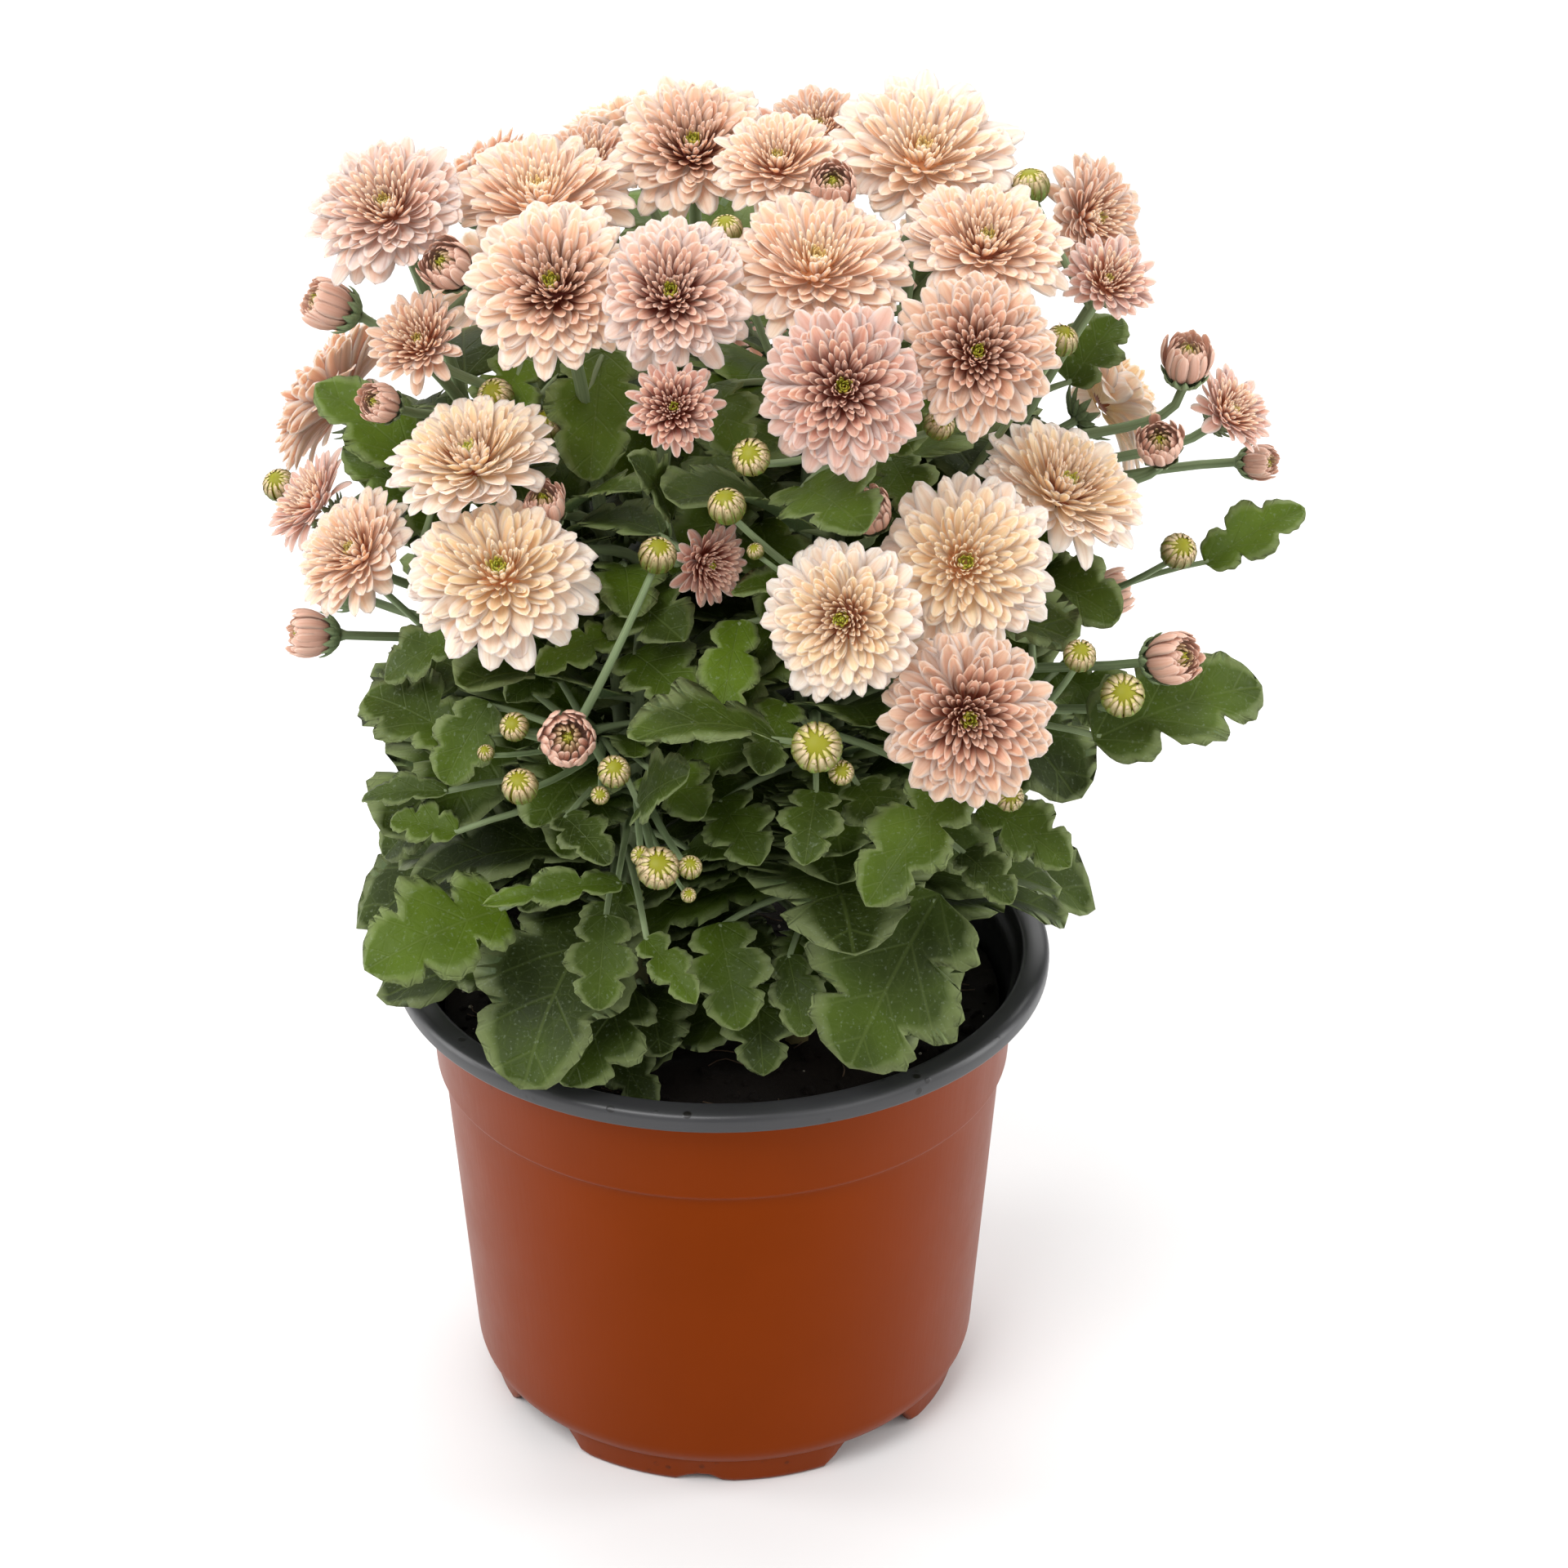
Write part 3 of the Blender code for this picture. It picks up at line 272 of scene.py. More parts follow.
tree.links.new(add(tree, "MapRange", {"Value": mottle, "To Min": 0.28, "To Max": 0.44}).outputs[0],
               shader.inputs["Roughness"])
bump = add(tree, "Bump", {"Height": dirt, "Strength": 0.2, "Distance": 0.0004})
tree.links.new(bump.outputs[0], shader.inputs["Normal"])
shader.inputs["IOR"].default_value = 1.49

# The sheet changes colour where its edge was rolled under, at the underside of the rim.
pot = put("pot_shell", pot_mesh, terracotta, grey)
lining_from = 1 + 4 * 12 + 3
ring_of = np.clip((pot_faces.min(axis=1) - 1) // POT_AROUND + 1, 0, None)
pot_mesh.polygons.foreach_set("material_index", (ring_of >= lining_from).astype(np.int32))
for number in range(DRAIN_COUNT):
    angle = 2 * np.pi / DRAIN_COUNT * (number + 0.5)
    drain_profile = np.array(((0, FOOT_HEIGHT - 3 * WALL), (DRAIN_RADIUS, FOOT_HEIGHT - 3 * WALL),
                              (DRAIN_RADIUS, FOOT_HEIGHT + 4 * WALL), (0, FOOT_HEIGHT + 4 * WALL)))
    drain_points = turned_points(drain_profile, 20) + DRAIN_RING * np.array((np.cos(angle), np.sin(angle), 0))
    drain = put("drain", make_mesh("drain", drain_points, skin_faces(1, 2, 20)))
    cut = pot.modifiers.new("cut", "BOOLEAN")
    cut.operation, cut.solver, cut.object = "DIFFERENCE", "MANIFOLD", drain
cut_mesh = bpy.data.meshes.new_from_object(pot.evaluated_get(bpy.context.evaluated_depsgraph_get()))
pot.modifiers.clear()
pot.data = cut_mesh
for item in [item for item in bpy.data.objects if item.name.startswith("drain")]:
    bpy.data.objects.remove(item)
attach(pot, "root")
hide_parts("pot")

# The potting soil is dark peat with bark crumbs, a few pale grains and fibres. It settles a finger's
# breadth below the rim, and its surface is lumpy from watering.
SOIL_HEIGHT = 93.0 * MM
SOIL_RIM = STEP_RADIUS - WALL - 0.9 * MM
SOIL_FLOOR = FOOT_HEIGHT + WALL + 0.3 * MM
SOIL_AROUND = 150
SOIL_RINGS = 52
LUMPS = 420
CRUMBS = 520
GRAINS = 70
FIBRES = 130
chance = np.random.default_rng(11)


def soil_height(x, y):
    """Soil level at a place: the settled bed plus round lumps, each a smooth hump of its own size."""
    far = np.hypot(x, y)
    bed = SOIL_HEIGHT + np.interp(far, (0, 22 * MM, 44 * MM, SOIL_RIM), (0, 0.8 * MM, -0.6 * MM, -1.2 * MM))
    away = ((x[..., None] - lump_x) ** 2 + (y[..., None] - lump_y) ** 2) / lump_wide ** 2
    return bed + (lump_high * np.exp(-away)).sum(axis=-1) - 0.5 * MM


lump_far = SOIL_RIM * np.sqrt(chance.random(LUMPS))
lump_turn = chance.random(LUMPS) * 2 * np.pi
lump_x, lump_y = lump_far * np.cos(lump_turn), lump_far * np.sin(lump_turn)
lump_wide = chance.uniform(1.2, 3.6, LUMPS) * MM
lump_high = lump_wide * chance.uniform(0.15, 0.42, LUMPS)
bed_far = np.linspace(SOIL_RIM, 0.4 * MM, SOIL_RINGS)
soil_profile = np.concatenate((
    ((0, SOIL_FLOOR), (BODY_FOOT_RADIUS - WALL - 0.9 * MM, SOIL_FLOOR),
     (BODY_TOP_RADIUS - WALL - 0.9 * MM, STEP_HEIGHT - 4 * MM), (SOIL_RIM, STEP_HEIGHT)),
    np.stack((bed_far, 0 * bed_far + SOIL_HEIGHT), axis=1), ((0, SOIL_HEIGHT),)))
soil_points = turned_points(soil_profile, SOIL_AROUND)
on_top = soil_points[:, 2] > STEP_HEIGHT + 1 * MM
soil_points[on_top, 2] = soil_height(soil_points[on_top, 0], soil_points[on_top, 1])
soil_mesh = make_mesh("soil_bed", soil_points, skin_faces(1, len(soil_profile) - 2, SOIL_AROUND))

# Moist peat: near black and matt, browner where it has dried, with a coarse grain.
peat, tree, shader = new_finish("moist peat soil")
place = add(tree, "TexCoord").outputs["Object"]
grain = add(tree, "TexNoise", {"Vector": place, "Scale": 900.0, "Detail": 6.0, "Roughness": 0.75}).outputs["Fac"]
damp = add(tree, "TexNoise", {"Vector": place, "Scale": 55.0, "Detail": 3.0}).outputs["Fac"]
dry = add(tree, "MixRGB", {"Fac": damp, "Color1": linear("#0E0B09"), "Color2": linear("#231A13")})
light = add(tree, "MapRange", {"Value": grain, "From Min": 0.62, "From Max": 0.80}).outputs[0]
tree.links.new(add(tree, "MixRGB", {"Fac": light, "Color1": dry.outputs[0], "Color2": linear("#4A3A2B")}).outputs[0],
               shader.inputs["Base Color"])
tree.links.new(add(tree, "Bump", {"Height": grain, "Strength": 0.7, "Distance": 0.0008}).outputs[0],
               shader.inputs["Normal"])
shader.inputs["Roughness"].default_value = 0.92
shader.inputs["Specular IOR Level"].default_value = 0.25
soil = put("soil_bed", soil_mesh, peat)
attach(soil, "root")
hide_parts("soil")


def scattered(count, small, large, flat, rings, around):
    """Lumpy closed grains on the soil: spheres of rings whose points stand in or out at random."""
    far = (SOIL_RIM - 1.5 * MM) * np.sqrt(chance.random(count))
    turn = chance.random(count) * 2 * np.pi
    x, y = far * np.cos(turn), far * np.sin(turn)
    middle = np.stack((x, y, soil_height(x, y)), axis=-1)
    size = chance.uniform(small, large, count)[:, None, None] * chance.uniform(0.6, 1.25, (count, 1, 3))
    up = np.linspace(0, np.pi, rings + 2)[1:-1, None]
    round_ = np.arange(around) * 2 * np.pi / around
    ring = np.stack((np.sin(up) * np.cos(round_), np.sin(up) * np.sin(round_), -np.cos(up) + 0 * round_), axis=-1)
    one = np.concatenate((((0, 0, -1.0),), ring.reshape(-1, 3), ((0, 0, 1.0),)))
    lumpy = one[None] * chance.uniform(0.72, 1.15, (count, len(one), 1)) * size * np.array((1, 1, flat))
    return (middle[:, None] + lumpy).reshape(-1, 3), skin_faces(count, rings, around)


crumbs = put("soil_crumbs", make_mesh("soil_crumbs", *scattered(CRUMBS, 0.5 * MM, 1.9 * MM, 0.7, 3, 6)), peat)
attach(crumbs, "root")

# Pale grains of expanded mineral and short straw-coloured fibres lie loose on the peat.
mineral, tree, shader = new_finish("expanded mineral grains")
place = add(tree, "TexCoord").outputs["Object"]
pores = add(tree, "TexNoise", {"Vector": place, "Scale": 1500.0, "Detail": 3.0}).outputs["Fac"]
tree.links.new(add(tree, "MixRGB", {"Fac": pores, "Color1": linear("#6E6558"), "Color2": linear("#C9C2B2")}).outputs[0],
               shader.inputs["Base Color"])
shader.inputs["Roughness"].default_value = 0.9
grains = put("soil_grains", make_mesh("soil_grains", *scattered(GRAINS, 0.25 * MM, 0.7 * MM, 0.8, 3, 5)), mineral)
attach(grains, "root")


def tube(path, radii, around, ribs=0, flat=1.0):
    """Points of a closed skin carried along a path, and its map.

    Each ring stands at right angles to the path. Its radius swells by a twelfth at each rib, and flat
    is its thickness over its width. The map's first number runs round it and its second along it.
    """
    path = np.asarray(path, float)
    along = np.gradient(path, axis=0)
    along /= np.linalg.norm(along, axis=1, keepdims=True)
    level = np.eye(3)[np.abs(path[-1] - path[0]).argmin()]
    side = np.cross(along, level)
    side /= np.linalg.norm(side, axis=1, keepdims=True)
    other = np.cross(along, side)
    angle = np.arange(around) * 2 * np.pi / around
    swell = np.asarray(radii)[:, None] * (1 + (0.08 * np.cos(ribs * angle) if ribs else 0 * angle))
    ring = (path[:, None] + side[:, None] * (swell * np.cos(angle))[..., None]
            + other[:, None] * (flat * swell * np.sin(angle))[..., None])
    points = np.concatenate((path[:1], ring.reshape(-1, 3), path[-1:]))
    run = np.concatenate((((0.5, 0),), np.stack(np.broadcast_arrays(
        angle / (2 * np.pi), np.linspace(0, 1, len(path))[:, None]), axis=-1).reshape(-1, 2), ((0.5, 1),)))
    return points, run


def gathered(skins):
    """Points, faces, map and tones of many skins as one: each is (points, faces, map, tone)."""
    offsets = np.cumsum([0] + [len(points) for points, *_ in skins[:-1]])
    points = np.concatenate([skin[0] for skin in skins])
    faces = np.concatenate([skin[1] + offset for skin, offset in zip(skins, offsets)])
    sheet = np.concatenate([skin[2] for skin in skins])
    tone = np.concatenate([np.broadcast_to(skin[3], len(skin[0])) for skin in skins])
    return points, faces, sheet, tone


def fibre(place, turn, length, bend):
    """Thin curved straw that lies on the soil: an arc of five rings."""
    share = np.linspace(-0.5, 0.5, 5)
    x = place[0] + length * (share * np.cos(turn) - bend * share ** 2 * np.sin(turn))
    y = place[1] + length * (share * np.sin(turn) + bend * share ** 2 * np.cos(turn))
    path = np.stack((x, y, soil_height(x, y) + 0.45 * MM), axis=-1)
    points, run = tube(path, np.full(5, 0.16 * MM), 4)
    return points, skin_faces(1, 5, 4), run, 0.5


straws = []
for far, turn, length, bend in zip(np.sqrt(chance.random(FIBRES)) * 0.9 * SOIL_RIM, chance.random(FIBRES) * 2 * np.pi,
                                   chance.uniform(3, 9, FIBRES) * MM, chance.uniform(-0.8, 0.8, FIBRES)):
    straws.append(fibre((far * np.cos(turn), far * np.sin(turn)), turn * 7.3, length, bend))
straw, tree, shader = new_finish("peat fibres")
place = add(tree, "TexCoord").outputs["Object"]
weathered = add(tree, "TexNoise", {"Vector": place, "Scale": 300.0}).outputs["Fac"]
tree.links.new(add(tree, "MixRGB", {"Fac": weathered, "Color1": linear("#2E2117"),
                                    "Color2": linear("#7A624A")}).outputs[0], shader.inputs["Base Color"])
shader.inputs["Roughness"].default_value = 0.8
points, faces, sheet, tone = gathered(straws)
fibres = put("soil_fibres", make_mesh("soil_fibres", points, faces), straw)
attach(fibres, "root")

# Where the flower heads stand. Each is given by where the front view shows it: the pixel of its middle
# and its width in that 1920 pixel picture, how far in front of the pot's axis it is, and which way it
# faces. The picture is taken from 28.5 degrees above the front. The sides and back follow a rule.
PICTURE_CENTRE = 960.0
FOCAL_PIXELS = 5000.0
VIEW_RISE = math.radians(28.5)
VIEW_DISTANCE = 854.0 * MM
VIEW_AIM = Vector((13.3, 0.0, 142.7)) * MM
BUD_PETALS = 7
BACK_PETALS = 9
BUD_WIDTH = 20

Bloom = namedtuple("Bloom", "u v width front turn rise cup petals tint heart", defaults=("dusky", "closed"))
Leaf = namedtuple("Leaf", "base_u base_v base_front tip_u tip_v tip_front breadth tone", defaults=(-1,))
Head = namedtuple("Head", "seat facing radius cup petals tint heart")

# Open blooms: pixel and width, millimetres in front of the axis, facing in degrees, cup from 0, flat,
# to 1, half open, how many broad petals the solid has in a layer, the petals' tint and how the heart looks
BLOOMS = (
    Bloom(475, 255, 185, 5, -25, 55, 0.15, 9, "pink", "tan"),
    Bloom(660, 240, 205, 0, -10, 72, 0.15, 9, "peach", "pale"),
    Bloom(848, 180, 185, -14, 0, 55, 0.20, 9, "peach", "dark"),
    Bloom(953, 200, 155, 6, -10, 66, 0.25, 9, "peach", "tan"),
    Bloom(1130, 190, 215, -12, 5, 60, 0.20, 9, "pale", "pale"),
    Bloom(1207, 300, 190, 24, 15, 64, 0.20, 9, "peach", "tan"),
    Bloom(1337, 268, 150, -12, 50, 22, 0.30, 9, "dusty", "tan"),
    Bloom(1356, 345, 118, 12, 20, 48, 0.75, 8, "mauve", "tan"),
    Bloom(677, 350, 205, 38, -8, 45, 0.15, 9, "peach", "dark"),
    Bloom(822, 360, 182, 44, 0, 42, 0.15, 9, "pink", "dark"),
    Bloom(1000, 325, 215, 32, 5, 64, 0.15, 9, "peach", "pale"),
    Bloom(1033, 475, 190, 60, 0, 30, 0.10, 9, "mauve", "dark"),
    Bloom(1197, 432, 180, 52, 5, 32, 0.10, 9, "dusty", "dark"),
    Bloom(515, 420, 130, 22, -25, 48, 0.75, 8, "dusty", "tan"),
    Bloom(825, 500, 115, 58, 0, 35, 0.60, 8, "dusky", "dark"),
    Bloom(578, 562, 200, 40, -40, 70, 0.20, 9, "cream", "tan"),
    Bloom(384, 615, 130, -4, -75, 42, 0.55, 8, "mauve", "tan"),
    Bloom(436, 677, 158, 22, -50, 45, 0.30, 9, "peach", "tan"),
    Bloom(612, 700, 215, 56, -5, 50, 0.00, 9, "cream", "pale"),
    Bloom(1033, 758, 185, 72, -14, 22, 0.10, 9, "cream", "tan"),
    Bloom(1180, 690, 210, 56, 5, 32, 0.10, 9, "cream", "pale"),
    Bloom(1185, 878, 200, 78, 5, 20, 0.10, 9, "dusty", "dark"),
    Bloom(1303, 600, 200, 26, 55, 62, 0.20, 9, "cream", "tan"),
    Bloom(1505, 505, 115, -8, 55, 46, 0.60, 8, "mauve", "tan"),
    Bloom(866, 690, 105, 44, 40, 8, 0.60, 8, "dusky", "dark"),
    Bloom(1003, 158, 120, -38, 0, 62, 0.50, 8, "dusty", "tan"),
    Bloom(722, 200, 120, -36, -10, 60, 0.50, 8, "dusty", "tan"),
)

# Half-open buds, in the same terms
BUDS = (
    Bloom(420, 380, 66, 2, -75, 28, 1.0, 7),
    Bloom(556, 332, 66, 14, -30, 40, 1.0, 7),
    Bloom(475, 497, 52, 20, -40, 30, 1.0, 7),
    Bloom(1020, 236, 60, 16, 0, 48, 1.0, 7),
    Bloom(1451, 455, 64, -6, 10, 72, 1.0, 7),
    Bloom(1421, 550, 60, 0, -10, 45, 1.0, 7),
    Bloom(1530, 566, 46, -14, 60, 12, 1.0, 7),
    Bloom(1420, 808, 70, 34, 50, 24, 1.0, 7),
    Bloom(665, 630, 62, 44, 0, 62, 1.0, 7),
    Bloom(397, 777, 60, 14, -75, 10, 1.0, 7),
    Bloom(1066, 634, 60, 50, -10, 50, 1.0, 7),
    Bloom(692, 908, 74, 66, 10, 34, 1.0, 7),
    Bloom(1373, 855, 52, 44, 0, 38, 1.0, 7, "green"),
    Bloom(1000, 918, 60, 78, 0, 36, 1.0, 7, "green"),
)

# Blooms and buds round the sides and back: turn and rise of the facing, radius, height and width
BACK_BLOOMS = tuple(
    (128 + 34.7 * k, 52, 56 + 3 * (k % 2), 261 - 4 * (k % 2), 32) for k in range(4)
) + tuple((112 + 33.8 * k, 26, 83 + 3 * (k % 2), 214 + 9 * (k % 2), 33) for k in range(5))
BACK_BUDS = tuple((104 + 75 * k, 15, 80, 176 - 8 * (k % 2), 10) for k in range(3))

# Green buds: pixel, width, millimetres in front of the axis
GREEN_BUDS = (
    (607, 485, 42, 18), (672, 522, 42, 18), (920, 560, 44, 62), (890, 620, 44, 62),
    (805, 680, 44, 56), (342, 594, 38, -14), (925, 675, 20, 60), (630, 890, 34, 64),
    (637, 963, 42, 70), (752, 945, 38, 76), (735, 974, 22, 76), (595, 922, 20, 62),
    (806, 1063, 50, 84), (785, 1048, 24, 82), (845, 1062, 28, 84), (843, 1096, 18, 84),
    (1030, 946, 30, 80), (1300, 417, 38, 22), (1322, 803, 38, 52), (1236, 976, 34, 76),
    (1443, 675, 42, 6), (890, 282, 38, 24), (1262, 228, 44, -6), (1150, 520, 36, 44),
)


def direction(turn, rise):
    """Unit vector that faces turn degrees right of the front and rise degrees up."""
    turn, rise = math.radians(turn), math.radians(rise)
    return Vector((math.sin(turn) * math.cos(rise), -math.cos(turn) * math.cos(rise), math.sin(rise)))


def sight(u, v, front):
    """Point on the line of sight through a pixel, front millimetres before the axis, and its scale."""
    ahead = Vector((0, math.cos(VIEW_RISE), -math.sin(VIEW_RISE)))
    up = Vector((0, math.sin(VIEW_RISE), math.cos(VIEW_RISE)))
    eye = VIEW_AIM - ahead * VIEW_DISTANCE
    ray = ahead + Vector((u - PICTURE_CENTRE, 0, 0)) / FOCAL_PIXELS
    ray = ray + up * ((PICTURE_CENTRE - v) / FOCAL_PIXELS)
    depth = (-front * MM - eye.y) / ray.y
    return eye + ray * depth, depth / FOCAL_PIXELS


def seen_at(points):
    """Pixels at which points appear, the other way round from sight()."""
    points = np.array(points) - np.array(VIEW_AIM)
    rise, fall = math.cos(VIEW_RISE), math.sin(VIEW_RISE)
    depth = points[:, 1] * rise - points[:, 2] * fall + VIEW_DISTANCE
    upward = points[:, 1] * fall + points[:, 2] * rise
    return PICTURE_CENTRE + FOCAL_PIXELS * points[:, 0] / depth, PICTURE_CENTRE - FOCAL_PIXELS * upward / depth


def heads(blooms, back):
    """Seat, facing, radius, cup, petal count and looks of each head, pictured and hidden."""
    found = []
    for item in blooms:
        centre, scale = sight(item.u, item.v, item.front)
        radius = item.width / 2 * scale
        facing = direction(item.turn, item.rise)
        seat = centre - facing * radius * 0.3
        found.append(Head(seat, facing, radius, item.cup, item.petals, item.tint, item.heart))
    for number, (turn, rise, ring, height, width) in enumerate(back):
        flat = direction(turn, 0) * ring * MM
        cup, petals = (1.0, BUD_PETALS) if width < BUD_WIDTH else (0.2, BACK_PETALS)
        tint, heart = BACK_LOOKS[number % len(BACK_LOOKS)]
        found.append(Head(flat + Vector((0, 0, height * MM)), direction(turn, rise), width / 2 * MM,
                          cup, petals, tint, heart))
    return found


BACK_LOOKS = (("peach", "tan"), ("mauve", "dark"), ("pale", "pale"), ("dusty", "dark"), ("cream", "tan"))
bloom_heads = heads(BLOOMS, BACK_BLOOMS)
bud_heads = heads(BUDS, BACK_BUDS)
all_heads = bloom_heads + bud_heads

# Each rooted cutting has one main stem that leans out a little, and forks into branches. A branch ends
# in its highest flower head, and the stalks of the lower heads leave it on the way. The stalks bow
# sideways where they would otherwise run through another head. Main stems turn a little woody.
CUTTING_TURNS = (-36.0, 36.0, 108.0, 180.0, -108.0)
ROOT_RING = 27.0 * MM
ROOT_DEPTH = 16.0 * MM
STEM_RADIUS = 2.1 * MM
BRANCH_RADIUS = 1.6 * MM
STALK_RADIUS = 1.2 * MM
SHOOT_RADIUS = 0.9 * MM
SPRAY = 4
STEM_REACH = 48.0 * MM
STALKS_FROM = 140.0 * MM
FIT = 0.3 * MM


def frame_of(facing):
    """Matrix whose third axis is the facing and whose first axis is level."""
    across = Vector((0, 0, 1)).cross(facing)
    across = across.normalized() if across.length > 1e-3 else Vector((1, 0, 0))
    return Matrix((across, facing.cross(across), facing)).transposed()


def root_place(turn, height):
    """Point on a cutting's stem near the soil."""
    return direction(turn, 0) * ROOT_RING + Vector((0, 0, height))


def turn_in_sector(point, number):
    """Degrees from the middle of a cutting's wedge to a point, seen from above."""
    turn = math.degrees(math.atan2(point.x, -point.y))
    return (turn - CUTTING_TURNS[number] + 180) % 360 - 180


def sector_of(point):
    """Number of the cutting whose wedge of the crown holds a point."""
    gaps = [abs(turn_in_sector(point, number)) for number in range(len(CUTTING_TURNS))]
    return gaps.index(min(gaps))


def bezier(start, lead, trail, end, share):
    """Point of a cubic curve."""
    rest = 1 - share
    return (start * rest ** 3 + lead * (3 * rest ** 2 * share)
            + trail * (3 * rest * share ** 2) + end * share ** 3)


def stem_point(number, height):
    """Point on a cutting's main stem, which leans out a little as it rises."""
    turn = CUTTING_TURNS[number]
    lean = max(0.0, height - SOIL_HEIGHT)
    out = ROOT_RING + lean * 0.12 + lean ** 2 * 0.9
    return direction(turn, 0) * out + Vector((0, 0, height))


def stem_path(number):
    """Points up a cutting's main stem, from the bottom of its hole."""
    low = root_place(CUTTING_TURNS[number], SOIL_HEIGHT - ROOT_DEPTH + FIT)
    return [low] + [stem_point(number, SOIL_HEIGHT + STEM_REACH * k / 4) for k in range(5)]


def near_head(points, items, skip):
    """True if any point lies in or close round a flower head other than the skipped one."""
    for index, (seat, facing, radius, _, petals, *_) in enumerate(items):
        if index == skip:
            continue
        apart = points - np.array(seat + facing * radius * 0.2)
        high = apart @ np.array(facing)
        wide = np.sqrt(np.maximum((apart ** 2).sum(axis=1) - high ** 2, 0))
        top = radius * (1.8 if petals == BUD_PETALS else 0.8)
        if ((wide < radius + 1.4 * MM) & (high > -0.42 * radius - MM) & (high < top)).any():
            return True
    return False


def along_path(path, spacing=2.5 * MM):
    """Points at even spacing along a path, as an array."""
    found = []
    for start, end in zip(path, path[1:]):
        count = max(1, int((end - start).length / spacing))
        found += [start.lerp(end, k / count) for k in range(count)]
    return np.array(found + [path[-1]])


def calyx_share(petals):
    """Radius of the green cup under a head, as a share of the head's."""
    return 0.66 if petals == BUD_PETALS else 0.27


def stalk_curve(start, head, bow):
    """Control points of a flower stalk, from its branch up to the calyx, along the facing."""
    seat, facing, radius, _, petals, *_ = head
    end = seat - facing * (radius * calyx_share(petals) * 0.85 + FIT)
    reach = (end - start).length
    lead = start + Vector((0, 0, 0.3 * reach)) + (end - start) * 0.1 + bow
    return start, lead, end - facing * reach * 0.36 + bow * 0.5, end


def distances(points, others):
    """Distance from each point to the nearest of some others."""
    return np.sqrt(((points[:, None] - others[None]) ** 2).sum(axis=2)).min(axis=1)


def nearest(paths, point, below):
    """Point of some paths that is nearest to a point and at least so far below it."""
    best = None
    for path in paths:
        for spot in along_path(path, 4 * MM)[1:]:
            span = math.dist(spot, point)
            if point.z - spot[2] >= below and (best is None or span < best[0]):
                best = (span, spot)
    return Vector(best[1])


def bowed_path(starts, index, items, cloud, number, steps):
    """Stalk that leaves its branch and bows sideways so that it misses the other heads and stalks."""
    side = direction(CUTTING_TURNS[number] + 90, 0)
    best = None
    for start in starts:
        for bow in (0, 7, -7, 14, -14, 21, -21):
            curve = stalk_curve(start, items[index], side * bow * MM)
            path = [bezier(*curve, k / steps) for k in range(steps + 1)]
            points = along_path(path)
            free = points[len(points) // 4:]
            fault = int((distances(free, np.concatenate(cloud)) < 3 * MM).sum())
            fault += 100 * near_head(free[:-2], items, index)
            if best is None or fault < best[0]:
                best = (fault, path, points, curve)
    return best[1:]


def flower_stalks(items):
    """Owner, path, radius and curve of every head's stalk, and the points along all of them."""
    stalks = {}
    cloud = [along_path(stem_path(number)) for number in range(len(CUTTING_TURNS))]
    for number in range(len(CUTTING_TURNS)):
        own = [index for index, head in enumerate(items) if sector_of(head[0]) == number]
        own.sort(key=lambda index: turn_in_sector(items[index][0], number))
        for first in range(0, len(own), SPRAY):
            spray = sorted(own[first:first + SPRAY], key=lambda index: -items[index][0].z)
            paths = []
            for index in spray:
                ways = paths + [stem_path(number)[1:]]
                if paths:
                    starts = [nearest(ways, items[index][0], below * MM) for below in (24, 34, 44)]
                else:
                    starts = [stem_point(number, (114 + 24 * first / len(own)) * MM)]
                steps = 2 if paths else 4
                path, points, curve = bowed_path(starts, index, items, cloud, number, steps)
                stalks[index] = (number, path, STALK_RADIUS if paths else BRANCH_RADIUS, curve)
                paths.append(path)
                cloud.append(points)
    return stalks, cloud


def own_paths(number, stalks):
    """Paths of a cutting's stem and of its flower stalks."""
    return [stem_path(number)] + [path for owner, path, *_ in stalks.values() if owner == number]


def bud_shoots(items, stalks, cloud):
    """Owner, centre, radius and side-shoot path of each green bud, clear of the flower heads."""
    found = []
    for u, v, width, front in GREEN_BUDS:
        centre, scale = sight(u, v, front)
        number = sector_of(centre)
        radius = width / 2 * scale
        for below in (8, 14, 20, 28, 38, 50):
            start = nearest(own_paths(number, stalks), centre, below * MM)
            end = centre - (Vector((0, 0, 1)) + (centre - start).normalized()).normalized() * radius
            path = [start, end]
            if not near_head(along_path(path)[2:], items, None):
                break
        found.append((number, centre, radius, path))
        cloud.append(along_path(path + [centre]))
    return found


stalks, cloud = flower_stalks(all_heads)
shoots = bud_shoots(all_heads, stalks, cloud)
stalk_cloud = np.concatenate(cloud)

# Young chrysanthemum stem: pale green, ribbed, with a dull bloom of fine hairs; older wood near the
# soil is browner. The tone value runs from 0, green, to 1, woody.
stem_skin, tree, shader = new_finish("ribbed green stem")
place = add(tree, "TexCoord")
tone = add(tree, "Attribute", attribute_name="tone").outputs["Fac"]
streak = add(tree, "TexNoise", {"Vector": add(tree, "Mapping", {"Vector": place.outputs["UV"], "Scale": (14, 2, 1)}).outputs[0],
                                "Scale": 1.0, "Detail": 3.0}).outputs["Fac"]
patch = add(tree, "TexNoise", {"Vector": place.outputs["Object"], "Scale": 70.0}).outputs["Fac"]
young = add(tree, "MixRGB", {"Fac": streak, "Color1": linear("#5A6B45"), "Color2": linear("#8FA077")})
woody = add(tree, "MixRGB", {"Fac": patch, "Color1": linear("#5A5133"), "Color2": linear("#7C7048")})
tree.links.new(add(tree, "MixRGB", {"Fac": tone, "Color1": young.outputs[0], "Color2": woody.outputs[0]}).outputs[0],
               shader.inputs["Base Color"])
